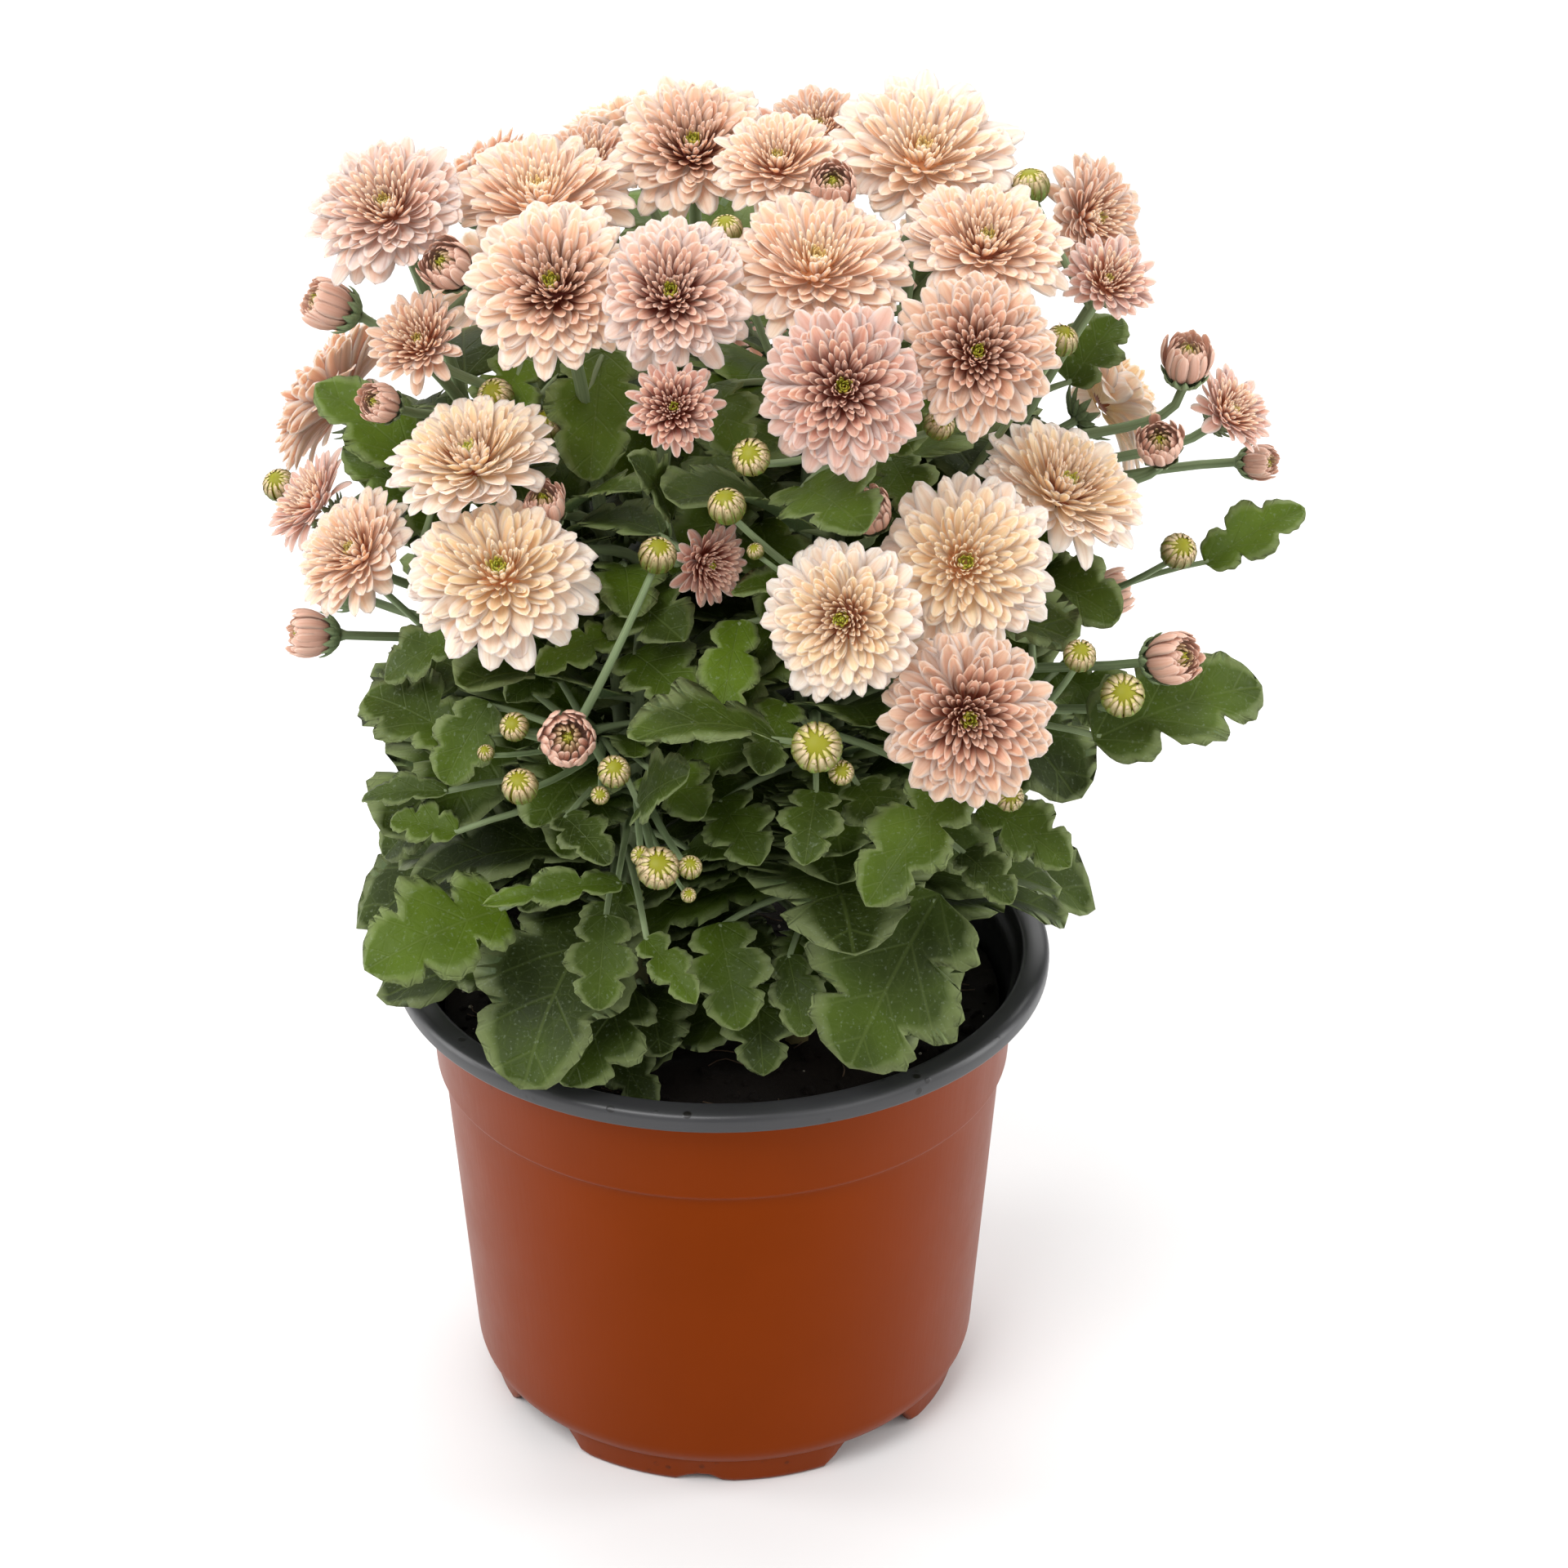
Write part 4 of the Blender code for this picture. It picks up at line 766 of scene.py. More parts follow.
tree.links.new(add(tree, "Bump", {"Height": streak, "Strength": 0.35, "Distance": 0.0002}).outputs[0],
               shader.inputs["Normal"])
shader.inputs["Roughness"].default_value = 0.62
shader.inputs["Specular IOR Level"].default_value = 0.3


def stalk_skin(head, curve, radius):
    """Ribbed flower stalk that narrows a little upwards and thickens under the calyx."""
    share = np.linspace(0, 1, 12)
    path = [bezier(*curve, k) for k in share]
    cup = head.radius * calyx_share(head.petals)
    path.append(head.seat - head.facing * (cup * 0.45 + FIT))
    radii = np.append(radius * (1 - 0.25 * share), radius * 1.15)
    points, run = tube(path, radii, 10, ribs=5)
    return points, skin_faces(1, len(path), 10), run, 0.25 * (1 - np.linspace(0, 1, len(points))) ** 2


def shoot_skin(centre, radius, path):
    """Side shoot that bends up a little into the foot of its bud."""
    start, end = path
    middle = (start + end) / 2 - Vector((0, 0, 0.06 * (end - start).length))
    share = np.linspace(0, 1, 7)
    way = [start * (1 - k) ** 2 + middle * 2 * k * (1 - k) + end.lerp(centre, 0.35) * k ** 2 for k in share]
    width = min(SHOOT_RADIUS, radius * 0.42)
    points, run = tube(way, width * (1 - 0.3 * share), 8, ribs=4)
    return points, skin_faces(1, len(way), 8), run, 0.0


def stem_skin_of(number):
    """Main stem, thick and woody at the soil, with a swollen joint every 14 mm where leaves stand."""
    height = np.linspace(SOIL_HEIGHT - ROOT_DEPTH + FIT, SOIL_HEIGHT + STEM_REACH + 2 * MM, 40)
    path = [stem_point(number, high) for high in height]
    joint = 1 + 0.16 * np.exp(-((((height - SOIL_HEIGHT) % (14 * MM)) - 7 * MM) / (1.4 * MM)) ** 2)
    radii = STEM_RADIUS * joint * np.interp(height, (SOIL_HEIGHT, SOIL_HEIGHT + STEM_REACH), (1.12, 0.86))
    points, run = tube(path, radii, 14, ribs=7)
    woody_share = np.repeat(np.interp(height, (SOIL_HEIGHT, SOIL_HEIGHT + STEM_REACH), (1.0, 0.25)), 14)
    return points, skin_faces(1, len(path), 14), run, np.concatenate(((1,), woody_share, (0.25,)))


def petal_skins(turn, out, high, length, rise, tip_rise, width, thick, channel, form, rings=6, slim=False,
                roll=0.0, sway=0.0):
    """Closed petals round a flower's axis, in its own frame, with the share along and across of each point.

    A petal's spine starts at radius out and height high, and its slope a turns evenly from rise to
    tip_rise: r(s) = out + L (sin a - sin a0) / k and z(s) = high + L (cos a0 - cos a) / k, a = a0 + k s.
    Half its width is form(s) of width / 2, its edges stand up by channel, and roll tips it sideways.
    A slim one has four points round it instead of six.
    """
    turn, out, high, length, rise, tip_rise, width, thick, channel, roll, sway = (
        np.asarray(v, float)[..., None, None] for v in np.broadcast_arrays(
            turn, out, high, length, rise, tip_rise, width, thick, channel, roll, sway))
    share = 1 - (1 - np.linspace(0, 1, rings + 2)) ** 1.5
    across = np.array((1, 0, -1, 0) if slim else (1, 0.4, -0.4, -1, -0.4, 0.4))
    face = np.array((0, 1, 0, -1.0) if slim else (0, 1, 1, 0, -1, -1.0))
    bend = np.where(np.abs(tip_rise - rise) < 0.02, 0.02, tip_rise - rise)
    share = share[:, None]
    slope = rise + bend * share
    half = width / 2 * form(share)
    side = half * across
    lift = channel * half * across ** 2 + thick / 2 * face * np.minimum(1, 8 * share * (1.02 - share))
    side, lift = side * np.cos(roll) - lift * np.sin(roll), lift * np.cos(roll) + side * np.sin(roll)
    side = side + sway * length * share ** 2
    far = out + length / bend * (np.sin(slope) - np.sin(rise)) - np.sin(slope) * lift
    tall = high + length / bend * (np.cos(rise) - np.cos(slope)) + np.cos(slope) * lift
    points = np.stack((far * np.cos(turn) - side * np.sin(turn), far * np.sin(turn) + side * np.cos(turn), tall), axis=-1)
    poles = [points[:, i].mean(axis=1, keepdims=True) for i in (0, -1)]
    skins = np.concatenate((poles[0], points[:, 1:-1].reshape(len(points), -1, 3), poles[1]), axis=1)
    along = np.concatenate(((0,), np.repeat(share[1:-1, 0], len(across)), (1,)))
    beside = np.concatenate(((0,), np.tile(across, rings), (0,)))
    return skins, along, beside


def placed(points, seat, facing):
    """Points of a flower's own frame, moved to its seat and turned to its facing."""
    return np.asarray(points) @ np.array(frame_of(facing)).T + np.array(seat)


def lance(share):
    """Half width of a pointed bract: widest a third of the way up."""
    return np.sin(np.pi * np.clip(share, 0, 1) ** 0.62) ** 0.8


bract_seed = np.random.default_rng(5)


def calyx(head):
    """Rows of narrow bracts that clasp a flower head from below, as points, with each point's share."""
    wide = head.radius * calyx_share(head.petals)
    if head.petals == BUD_PETALS:
        count, reach, rise, tip, breadth, foot = 11, 1.25 * head.radius, 12, 88, 0.50 * head.radius, -0.34
    else:
        count, reach, rise, tip, breadth, foot = 11, 0.46 * head.radius, 0, 62, 0.15 * head.radius, -0.22
    rows = []
    for row, (share, lag) in enumerate(((1.0, 0), (0.72, 0.5))):
        step = np.arange(count) + lag
        turn = step * 2 * np.pi / count + bract_seed.uniform(-0.1, 0.1, count)
        skins, along, _ = petal_skins(turn, 0.3 * wide, foot * head.radius * (1 + 0.12 * row), reach * share,
                                      np.radians(rise + 5 * row), np.radians(tip - 16 * row), breadth,
                                      0.35 * MM, 0.35, lance, rings=4, slim=True)
        rows.append((skins, along))
    points = np.concatenate([skins for skins, _ in rows])
    return placed(points.reshape(-1, 3), head.seat, head.facing), len(points), np.tile(rows[0][1], len(points))


for number in range(len(CUTTING_TURNS)):
    points, faces, run, tone = stem_skin_of(number)
    skins = [(points, faces, run, tone)]
    for index, (owner, _, radius, curve) in stalks.items():
        if owner == number:
            skins.append(stalk_skin(all_heads[index], curve, radius))
            clasp, count, share = calyx(all_heads[index])
            skins.append((clasp, skin_faces(count, 4, 4), np.stack((share, share), axis=-1), -0.4 * share))
    for owner, centre, radius, path in shoots:
        if owner == number:
            skins.append(shoot_skin(centre, radius, path))
    points, faces, sheet, tone = gathered(skins)
    piece = put(f"stems_{number + 1}", make_mesh(f"stems_{number + 1}", points, faces, sheet, {"tone": tone}), stem_skin)
    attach(piece, "root")
    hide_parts(f"leafy_stem_{number + 1}")

# The leaves are thick, matt and downy, dark above and grey-green below. Each is cut into three to five
# rounded lobes with coarse teeth, folded a little up its midrib, and stands on a flat channelled stalk.
LEAVES = (
    Leaf(618, 1112, 52, 446, 1188, 66, 0.86, 0.62),
    Leaf(562, 905, 44, 448, 850, 30, 0.80, 0.30),
    Leaf(545, 600, 18, 386, 470, 4, 0.52),
    Leaf(560, 660, 12, 420, 545, 0, 0.60),
    Leaf(1250, 560, 22, 1392, 500, 14, 0.80),
    Leaf(1310, 470, 4, 1372, 388, -6, 0.80),
    Leaf(1476, 690, -4, 1598, 622, -10, 0.60),
    Leaf(1340, 905, 44, 1546, 838, 26, 0.66),
    Leaf(1150, 1095, 58, 1040, 1308, 66, 0.92, 0.16),
    Leaf(775, 1210, 46, 690, 1330, 62, 0.95, 0.05),
    Leaf(742, 1120, 58, 732, 1238, 68, 0.80, 0.22),
    Leaf(1168, 962, 62, 1060, 1110, 78, 0.66, 0.30),
    Leaf(1000, 968, 66, 985, 1060, 80, 0.80),
    Leaf(1050, 960, 58, 1100, 1036, 74, 0.80),
    Leaf(970, 590, 34, 1062, 650, 58, 0.90),
    Leaf(762, 1082, 66, 590, 1108, 72, 0.30, 0.50),
    Leaf(842, 1040, 62, 908, 1048, 78, 0.70, 0.35),
    Leaf(800, 948, 52, 862, 1000, 72, 0.70, 0.40),
    Leaf(1200, 985, 54, 1312, 1062, 62, 0.70, 0.45),
    Leaf(925, 1205, 46, 935, 1318, 60, 0.85),
    Leaf(880, 1130, 50, 905, 1262, 66, 0.80),
    Leaf(905, 760, 44, 880, 905, 64, 0.50),
    Leaf(820, 640, 34, 770, 560, 46, 0.62),
    Leaf(560, 1020, 50, 478, 1004, 44, 0.70),
    Leaf(690, 1000, 58, 745, 1060, 74, 0.60),
)
MORE_LEAVES = (
    Leaf(837, 1112, 62, 952, 1136, 74, 0.95, 0.35),
    Leaf(790, 1149, 64, 852, 1230, 76, 0.55, 0.45),
    Leaf(781, 990, 66, 845, 948, 76, 0.85),
    Leaf(790, 885, 40, 905, 850, 52, 0.80),
    Leaf(750, 777, 52, 655, 824, 60, 0.62),
    Leaf(824, 950, 52, 934, 916, 62, 0.80),
    Leaf(548, 969, 44, 443, 978, 34, 0.35),
    Leaf(540, 985, 40, 470, 1050, 40, 0.70),
    Leaf(765, 1080, 50, 735, 1180, 62, 0.75),
    Leaf(740, 1270, 48, 800, 1362, 64, 0.60),
    Leaf(965, 1170, 52, 985, 1270, 64, 0.70),
    Leaf(1179, 1043, 52, 1240, 1106, 64, 0.70),
    Leaf(1110, 1050, 40, 1216, 1156, 56, 0.80),
    Leaf(755, 726, 34, 838, 786, 50, 1.00),
    Leaf(775, 800, 40, 845, 862, 56, 0.90),
    Leaf(738, 430, 10, 722, 590, 34, 0.70),
    Leaf(640, 440, 6, 600, 545, 22, 0.75),
    Leaf(870, 470, 20, 905, 560, 36, 0.80),
    Leaf(930, 640, 30, 960, 740, 50, 0.80),
    Leaf(1090, 560, 30, 1130, 640, 44, 0.80),
    Leaf(680, 820, 36, 620, 860, 46, 0.80),
    Leaf(1120, 420, 16, 1100, 560, 34, 0.70),
    Leaf(1260, 700, 26, 1370, 760, 40, 0.80),
    Leaf(1290, 820, 30, 1400, 900, 40, 0.70),
    Leaf(960, 860, 50, 930, 950, 64, 0.80),
    Leaf(560, 780, 36, 470, 830, 34, 0.70),
    Leaf(600, 860, 44, 545, 960, 50, 0.80),
    Leaf(1060, 560, 20, 1000, 620, 36, 0.80),
    Leaf(880, 980, 56, 930, 1060, 70, 0.90),
    Leaf(640, 1040, 50, 560, 1090, 56, 0.85),
    Leaf(700, 1180, 46, 620, 1240, 56, 0.85),
    Leaf(1000, 1140, 52, 1040, 1210, 66, 0.80),
)
HALF_OUTLINE = ((0.06, 0.00), (0.68, 0.13), (0.36, 0.33), (0.98, 0.54), (0.38, 0.69), (0.50, 0.87))
RIB_SHARES = (0.20, 0.60)
RIB_SPLITS = (1, 3, 7)
LEAFSTALK_HALF = 1.0 * MM
LEAF_MARGIN = 1.2 * MM
STALK_GAP = 2.3 * MM
LEAF_STEPS = 17
FILL_SIZES = ((42, 11), (33, 15), (25, 18), (18, 16))
# Rows of the photograph and the columns between which its foliage stands at each of them
FRONT_EDGE = ((0, 470, 560, 700, 960, 1150, 1250, 1400), (400, 392, 470, 436, 432, 440, 470, 560),
              (1400, 1400, 1400, 1330, 1320, 1320, 1290, 1260))


def blade_points(anchor, base, tip, breadth, lean, arch):
    """Rim and midrib points of a blade on a flat leafstalk, arched along and folded up its rib."""
    along = (tip - base).normalized()
    face = (lean - along * lean.dot(along)).normalized()
    across = along.cross(face)
    length = (tip - base).length

    def at(side, share):
        rise = (arch * 4 * share * (1 - share) + 0.10 * abs(side) * breadth) * length
        return base + along * (length * share) + across * (side * breadth * length / 2) + face * rise

    right = [at(side, share) for side, share in HALF_OUTLINE]
    left = [at(-side, share) for side, share in reversed(HALF_OUTLINE)]
    rib = [at(0, share) for share in RIB_SHARES]
    stalk = [anchor + across * (side * LEAFSTALK_HALF) for side in (1, -1)]
    return [stalk[0]] + right + [at(0, 1.0)] + left + [stalk[1]], rib


def blade_faces():
    """Corner numbers of a blade's triangles: rim points first, then the rib points."""
    half = len(HALF_OUTLINE) + 1
    rim = 2 * half + 1
    faces = [(0, 1, rim - 1), (1, rim - 2, rim - 1), (1, rim, rim - 2)]
    for part in range(len(RIB_SHARES)):
        rib = rim + part
        for i in range(RIB_SPLITS[part], RIB_SPLITS[part + 1]):
            faces.append((i, i + 1, rib))
            faces.append((rim - 1 - i, rib, rim - 2 - i))
        if part:
            i = RIB_SPLITS[part]
            faces.append((rib - 1, i, rib))
            faces.append((rib - 1, rib, rim - 1 - i))
    return faces


def samples(rim, rib):
    """Rim points, points between them and half way in, and points on the leafstalk, as an array."""
    edge = np.array(rim[1:-1])
    centre = np.array(rib).mean(axis=0)
    middles = (edge + np.roll(edge, 1, axis=0)) / 2
    anchor, base = (np.array(rim[0]) + np.array(rim[-1])) / 2, (edge[0] + edge[-1]) / 2
    stalk = [anchor + (base - anchor) * share for share in (0.45, 0.7)]
    return np.concatenate((edge, middles, (edge + centre) / 2, np.array(rib), stalk))


def touches(tree, points, gap):
    """True if any point lies within a gap of a blade's surface."""
    return any(tree.find_nearest(point, gap)[0] is not None for point in points)


def is_clear(blade, found, items, stalk_cloud, margin=LEAF_MARGIN, stalk_gap=STALK_GAP):
    """True if a blade is off the pot and soil, off every head and stalk, and off every earlier blade."""
    points, tree, rim = blade.samples, blade.tree, blade.rim
    out = np.hypot(points[:, 0], points[:, 1])
    inside = out < STEP_RADIUS - 3 * MM
    over = (out >= STEP_RADIUS - 3 * MM) & (out < RIM_RADIUS + 3 * MM)
    if (points[inside, 2] < SOIL_HEIGHT + 2.5 * MM).any() or (points[over, 2] < RIM_HEIGHT + 2 * MM).any():
        return False
    if near_head(points, items, None):
        return False
    centre = points.mean(axis=0)
    reach = np.linalg.norm(points - centre, axis=1).max()
    anchor = np.array(rim[0])
    near = stalk_cloud[np.linalg.norm(stalk_cloud - centre, axis=1) < reach + 3 * MM]
    near = near[np.linalg.norm(near - anchor, axis=1) > 5 * MM]
    if touches(tree, near, stalk_gap):
        return False
    for other in found:
        if np.linalg.norm(other.samples.mean(axis=0) - centre) < 2.2 * reach:
            if tree.overlap(other.tree) or touches(other.tree, points, margin):
                return False
            if touches(tree, other.samples, margin) or touches(tree, other.rim, margin):
                return False
    return True


Blade = namedtuple("Blade", "number samples tree rim anchor base tip breadth lean arch kind tone")


def make_blade(number, anchor, base, tip, breadth, lean, arch, kind, tone=-1):
    """Blade with the points and the search tree that keep it clear of its neighbours."""
    rim, rib = blade_points(anchor, base, tip, breadth, lean, arch)
    tree = BVHTree.FromPolygons(rim + rib, blade_faces())
    return Blade(number, samples(rim, rib), tree, rim, anchor, base, tip, breadth, lean, arch, kind, tone)


def pictured_leaves(table, kind, items, stalks, stalk_cloud, found, *gaps):
    """Blades that the front shows, each moved along the line of sight or drawn in until it is clear."""
    for leaf in table:
        for shift, pull in ((s, p) for p in (1.0, 0.9, 0.8, 0.7) for s in (0, 5, -5, 10, -10, 15, -15, -22)):
            base, _ = sight(leaf.base_u, leaf.base_v, leaf.base_front + shift)
            tip, _ = sight(leaf.tip_u, leaf.tip_v, leaf.tip_front + shift)
            number = sector_of((base + tip) / 2)
            anchor = nearest(own_paths(number, stalks), base, 2 * MM)
            blade = make_blade(number, anchor, tip + (base - tip) * pull, tip, leaf.breadth,
                               Vector((0, -0.55, 0.85)), 0.08, kind, leaf.tone)
            if is_clear(blade, found, items, stalk_cloud, *gaps):
                found.append(blade)
                break
    return found


def hidden_leaves(items, stalks, stalk_cloud, found):
    """Blades round the sides, back and inside, by a spiral rule up each cutting, where there is room."""
    for step in range(LEAF_STEPS):
        for number, middle in enumerate(CUTTING_TURNS):
            height = (101 + 118 * step / LEAF_STEPS) * MM
            paths = own_paths(number, stalks)
            path = paths[step % len(paths)] if height > STALKS_FROM else paths[0]
            places = along_path(path, 4 * MM)
            anchor = Vector(places[np.abs(places[:, 2] - height).argmin()])
            spiral = (step * 137.5 + number * 50) % 360 - 180
            inward = abs(spiral) > 90
            length = (47 - 14 * step / LEAF_STEPS) * MM * (0.72 if inward else 1.0)
            droop = (step * 61.8 + number * 23) % 50
            for nudge in (0, 15, -15, 30, -30, 45, -45):
                turn, rise = middle + spiral + nudge, 8 - droop + 30 * step / LEAF_STEPS
                base = anchor + direction(turn, 24) * 9 * MM
                blade = make_blade(number, anchor, base, base + direction(turn, rise) * length,
                                   0.84, direction(turn, 75), 0.12, "side")
                if is_clear(blade, found, items, stalk_cloud):
                    found.append(blade)
                    break
    return found


def filling_leaves(items, stalks, stalk_cloud, found):
    """More leaves on every stem and flower stalk by a second spiral, where there is room, large ones first."""
    crown_low, crown_high = np.array(cad_low) - 2 * MM, np.array(cad_high) + 2 * MM
    for size, steps in FILL_SIZES:
        for step in range(steps):
            for number, middle in enumerate(CUTTING_TURNS):
                for lane, path in enumerate(own_paths(number, stalks)):
                    height = (226 - 124 * ((step + 0.37 * lane) % steps) / steps) * MM
                    places = along_path(path, 4 * MM)
                    gap = np.abs(places[:, 2] - height)
                    if gap.min() > 4 * MM:
                        continue
                    anchor = Vector(places[gap.argmin()])
                    spiral = (step * 137.5 + lane * 83 + number * 50) % 360 - 180
                    length = size * MM * (1 + 0.12 * math.sin(step * 2.1 + lane))
                    droop = (step * 47.3 + lane * 31 + number * 23) % 46
                    for nudge in (0, 25, -25, 50, -50):
                        turn, rise = middle + spiral + nudge, 26 - droop - 16 * step / steps
                        base = anchor + direction(turn, 24) * (5 + size / 9) * MM
                        tip = base + direction(turn, rise) * length
                        if (np.array(tip) < crown_low).any() or (np.array(tip) > crown_high).any():
                            continue
                        blade = make_blade(number, anchor, base, tip, 0.86, direction(turn, 75), 0.12, "fill")
                        columns, rows = seen_at([*blade.rim, base, tip])
                        left = np.interp(rows, FRONT_EDGE[0], FRONT_EDGE[1])
                        right = np.interp(rows, FRONT_EDGE[0], FRONT_EDGE[2])
                        if (columns < left).any() or (columns > right).any():
                            continue
                        if is_clear(blade, found, items, stalk_cloud, 0.5 * MM, 1.2 * MM):
                            found.append(blade)
                            break
    return found


leaves = pictured_leaves(LEAVES, "front", all_heads, stalks, stalk_cloud, [])
leaves = hidden_leaves(all_heads, stalks, stalk_cloud, leaves)
leaves = pictured_leaves(MORE_LEAVES, "more", all_heads, stalks, stalk_cloud, leaves, 0.5 * MM, 1.2 * MM)
leaves = filling_leaves(all_heads, stalks, stalk_cloud, leaves)

LEAF_MARKS = (
    (0.05, 0.00), (0.26, 0.01), (0.52, 0.03), (0.66, 0.07), (0.68, 0.12), (0.80, 0.17), (0.72, 0.215), (0.66, 0.25),
    (0.46, 0.275), (0.36, 0.30), (0.50, 0.31), (0.76, 0.335), (0.82, 0.38), (0.96, 0.43), (0.93, 0.475), (1.00, 0.54),
    (0.89, 0.585), (0.79, 0.62), (0.55, 0.64), (0.42, 0.665), (0.53, 0.69), (0.67, 0.735), (0.61, 0.78), (0.62, 0.83),
    (0.47, 0.875), (0.38, 0.925), (0.19, 0.965), (0.00, 1.00),
)
LEAF_GRIDS = {"front": (54, 7), "side": (27, 7), "more": (54, 7), "fill": (27, 5)}
LEAF_THICK = 0.36 * MM


def smooth_line(marks, count):
    """Points at even steps on the Catmull-Rom curve through some marks."""
    marks = np.array(marks)
    padded = np.concatenate((2 * marks[:1] - marks[1:2], marks, 2 * marks[-1:] - marks[-2:-1]))
    place = np.linspace(0, len(marks) - 1, count)
    first = np.minimum(place.astype(int), len(marks) - 2)
    t = (place - first)[:, None]
    a, b, c, d = (padded[first + k] for k in range(4))
    return 0.5 * (2 * b + (c - a) * t + (2 * a - 5 * b + 4 * c - d) * t ** 2 + (3 * b - a - 3 * c + d) * t ** 3)


def leaf_sheet(rings, columns):
    """Share across and along of a leaf's points, top then underside of each ring, and its column shares.

    The points of a ring lie on two lines from the midrib out to one place on each side's margin.
    """
    margin = smooth_line(LEAF_MARKS, rings + 1)[:-1]
    running = np.maximum.accumulate(margin[:, 1] - 0.30 * margin[:, 0])
    middle = 0.5 * np.linspace(0, 0.97, rings) + 0.5 * np.maximum(running, 0)
    top = np.linspace(-1, 1, columns)
    column = np.concatenate((top, top[-2:0:-1]))
    side = margin[:, :1] * column
    side = side * np.ones((rings, 1))
    share = middle[:, None] + (margin[:, 1:] - middle[:, None]) * np.abs(column) ** 1.15
    under = np.concatenate((0 * top, np.ones(columns - 2)))
    return side, share, column, under


leaf_sheets = {kind: leaf_sheet(*grid) for kind, grid in LEAF_GRIDS.items()}


def leaf_skin(blade, order):
    """Closed skin of a blade: arched, folded up its rib, with puckered veins and a wavy edge. Its marks are
    the underside share and the share of a painted highlight along the margin.
    """
    along = (blade.tip - blade.base).normalized()
    face = (blade.lean - along * blade.lean.dot(along)).normalized()
    across = along.cross(face)
    length = (blade.tip - blade.base).length
    wave, size = order * 2.4, length
    x, y, leaf_column, leaf_under = leaf_sheets[blade.kind]
    plain = (0.12 if blade.kind == "front" else 0.22) * (1 + math.sin(order * 1.7))
    x = ((1 - plain) * np.abs(x[:, :1]) + plain * 0.95 * np.sin(np.pi * (0.05 + 0.9 * y[:, :1])) ** 0.6) * leaf_column
    rise = blade.arch * 4 * y * (1 - y) + 0.10 * np.abs(x) * blade.breadth
    rise = rise - 0.014 * np.exp(-(x / 0.06) ** 2) + 0.010 * np.sin(22 * (y - 0.55 * np.abs(x)) + wave) * np.abs(x)
    rise = rise + 0.030 * np.abs(leaf_column) ** 3 * np.sin(9 * y + wave + 2.0 * np.sign(leaf_column))
    rise = rise - 0.10 * (0.5 + 0.5 * math.sin(wave)) * np.clip(y - 0.55, 0, 1) ** 2
    edge = 1 - np.abs(leaf_column) ** 4
    level = rise * size + LEAF_THICK * edge * (0.5 - leaf_under)
    points = (np.array(blade.base) + (y * length)[..., None] * np.array(along)
              + (x * blade.breadth * length / 2)[..., None] * np.array(across)
              + level[..., None] * np.array(face))
    start = np.array(blade.base) - np.array(along) * 0.004 * length
    end = np.array(blade.tip) + np.array(face) * (rise[-1].mean() * size)
    points = np.concatenate((start[None], points.reshape(-1, 3), end[None]))
    sheet = np.stack((0.5 + 0.5 * x, y), axis=-1).reshape(-1, 2)
    sheet = np.concatenate((((0.5, 0),), sheet, ((0.5, 1),)))
    # Marks: 1 on the underside, and the share of a painted highlight that runs along the margin.
    marks = np.stack(np.broadcast_arrays(leaf_under, np.abs(leaf_column) ** 10, x), axis=-1)[..., :2].reshape(-1, 2)
    marks = np.concatenate((((0, 0),), marks[:, :2], ((0, 1),)))
    return points, sheet, marks


def leafstalk_skin(blade):
    """Flat channelled leafstalk from the stem out to the foot of the blade."""
    run = blade.base - blade.anchor
    middle = (blade.base + blade.anchor) / 2 + Vector((0, 0, 0.08 * run.length))
    share = np.linspace(0, 1, 6)
    end = blade.base + (blade.tip - blade.base) * 0.04
    path = [blade.anchor * (1 - k) ** 2 + middle * 2 * k * (1 - k) + end * k ** 2 for k in share]
    points, sheet = tube(path, LEAFSTALK_HALF * np.interp(share, (0, 0.2, 1), (1.1, 0.8, 0.6)), 6)
    return points, sheet, skin_faces(1, 6, 6)


# Leaf tissue: the upper face is dark and matt with paler, sunken veins that fork into the lobes, and the
# underside is grey-green and felted. A pale painted highlight runs along the margin. The tone value sets
# how young, and so how light, a leaf is.
leaf_skin_finish, tree, shader = new_finish("downy leaf")
place = add(tree, "TexCoord")
sheet = add(tree, "SeparateXYZ", {"Vector": place.outputs["UV"]})
beside = add(tree, "Math", {0: add(tree, "Math", {0: sheet.outputs["X"], 1: 0.5}, operation="SUBTRACT").outputs[0],
                            1: 2.0}, operation="MULTIPLY").outputs[0]
beside = add(tree, "Math", {0: beside}, operation="ABSOLUTE").outputs[0]
rib = add(tree, "MapRange", {"Value": beside, "From Min": 0.010, "From Max": 0.030, "To Min": 1.0, "To Max": 0.0}).outputs[0]
slant = add(tree, "Math", {0: add(tree, "Math", {0: beside, 1: 0.42}, operation="MULTIPLY").outputs[0],
                           1: sheet.outputs["Y"]}, operation="SUBTRACT").outputs[0]
teeth = add(tree, "Math", {0: slant, 1: 0.135}, operation="PINGPONG").outputs[0]
main_vein = add(tree, "MapRange", {"Value": teeth, "From Min": 0.003, "From Max": 0.014, "To Min": 0.8, "To Max": 0.0}).outputs[0]
mesh_vein = add(tree, "TexVoronoi", {"Vector": place.outputs["Object"], "Scale": 330.0}, feature="DISTANCE_TO_EDGE").outputs[0]
fine_vein = add(tree, "MapRange", {"Value": mesh_vein, "From Min": 0.0, "From Max": 0.09, "To Min": 0.30, "To Max": 0.0}).outputs[0]
vein = add(tree, "Math", {0: add(tree, "Math", {0: rib, 1: main_vein}, operation="MAXIMUM").outputs[0], 1: fine_vein},
           operation="MAXIMUM").outputs[0]
tone = add(tree, "Attribute", attribute_name="tone").outputs["Fac"]
under = add(tree, "Attribute", attribute_name="under").outputs["Fac"]
blotch = add(tree, "TexNoise", {"Vector": place.outputs["Object"], "Scale": 90.0, "Detail": 5.0}).outputs["Fac"]
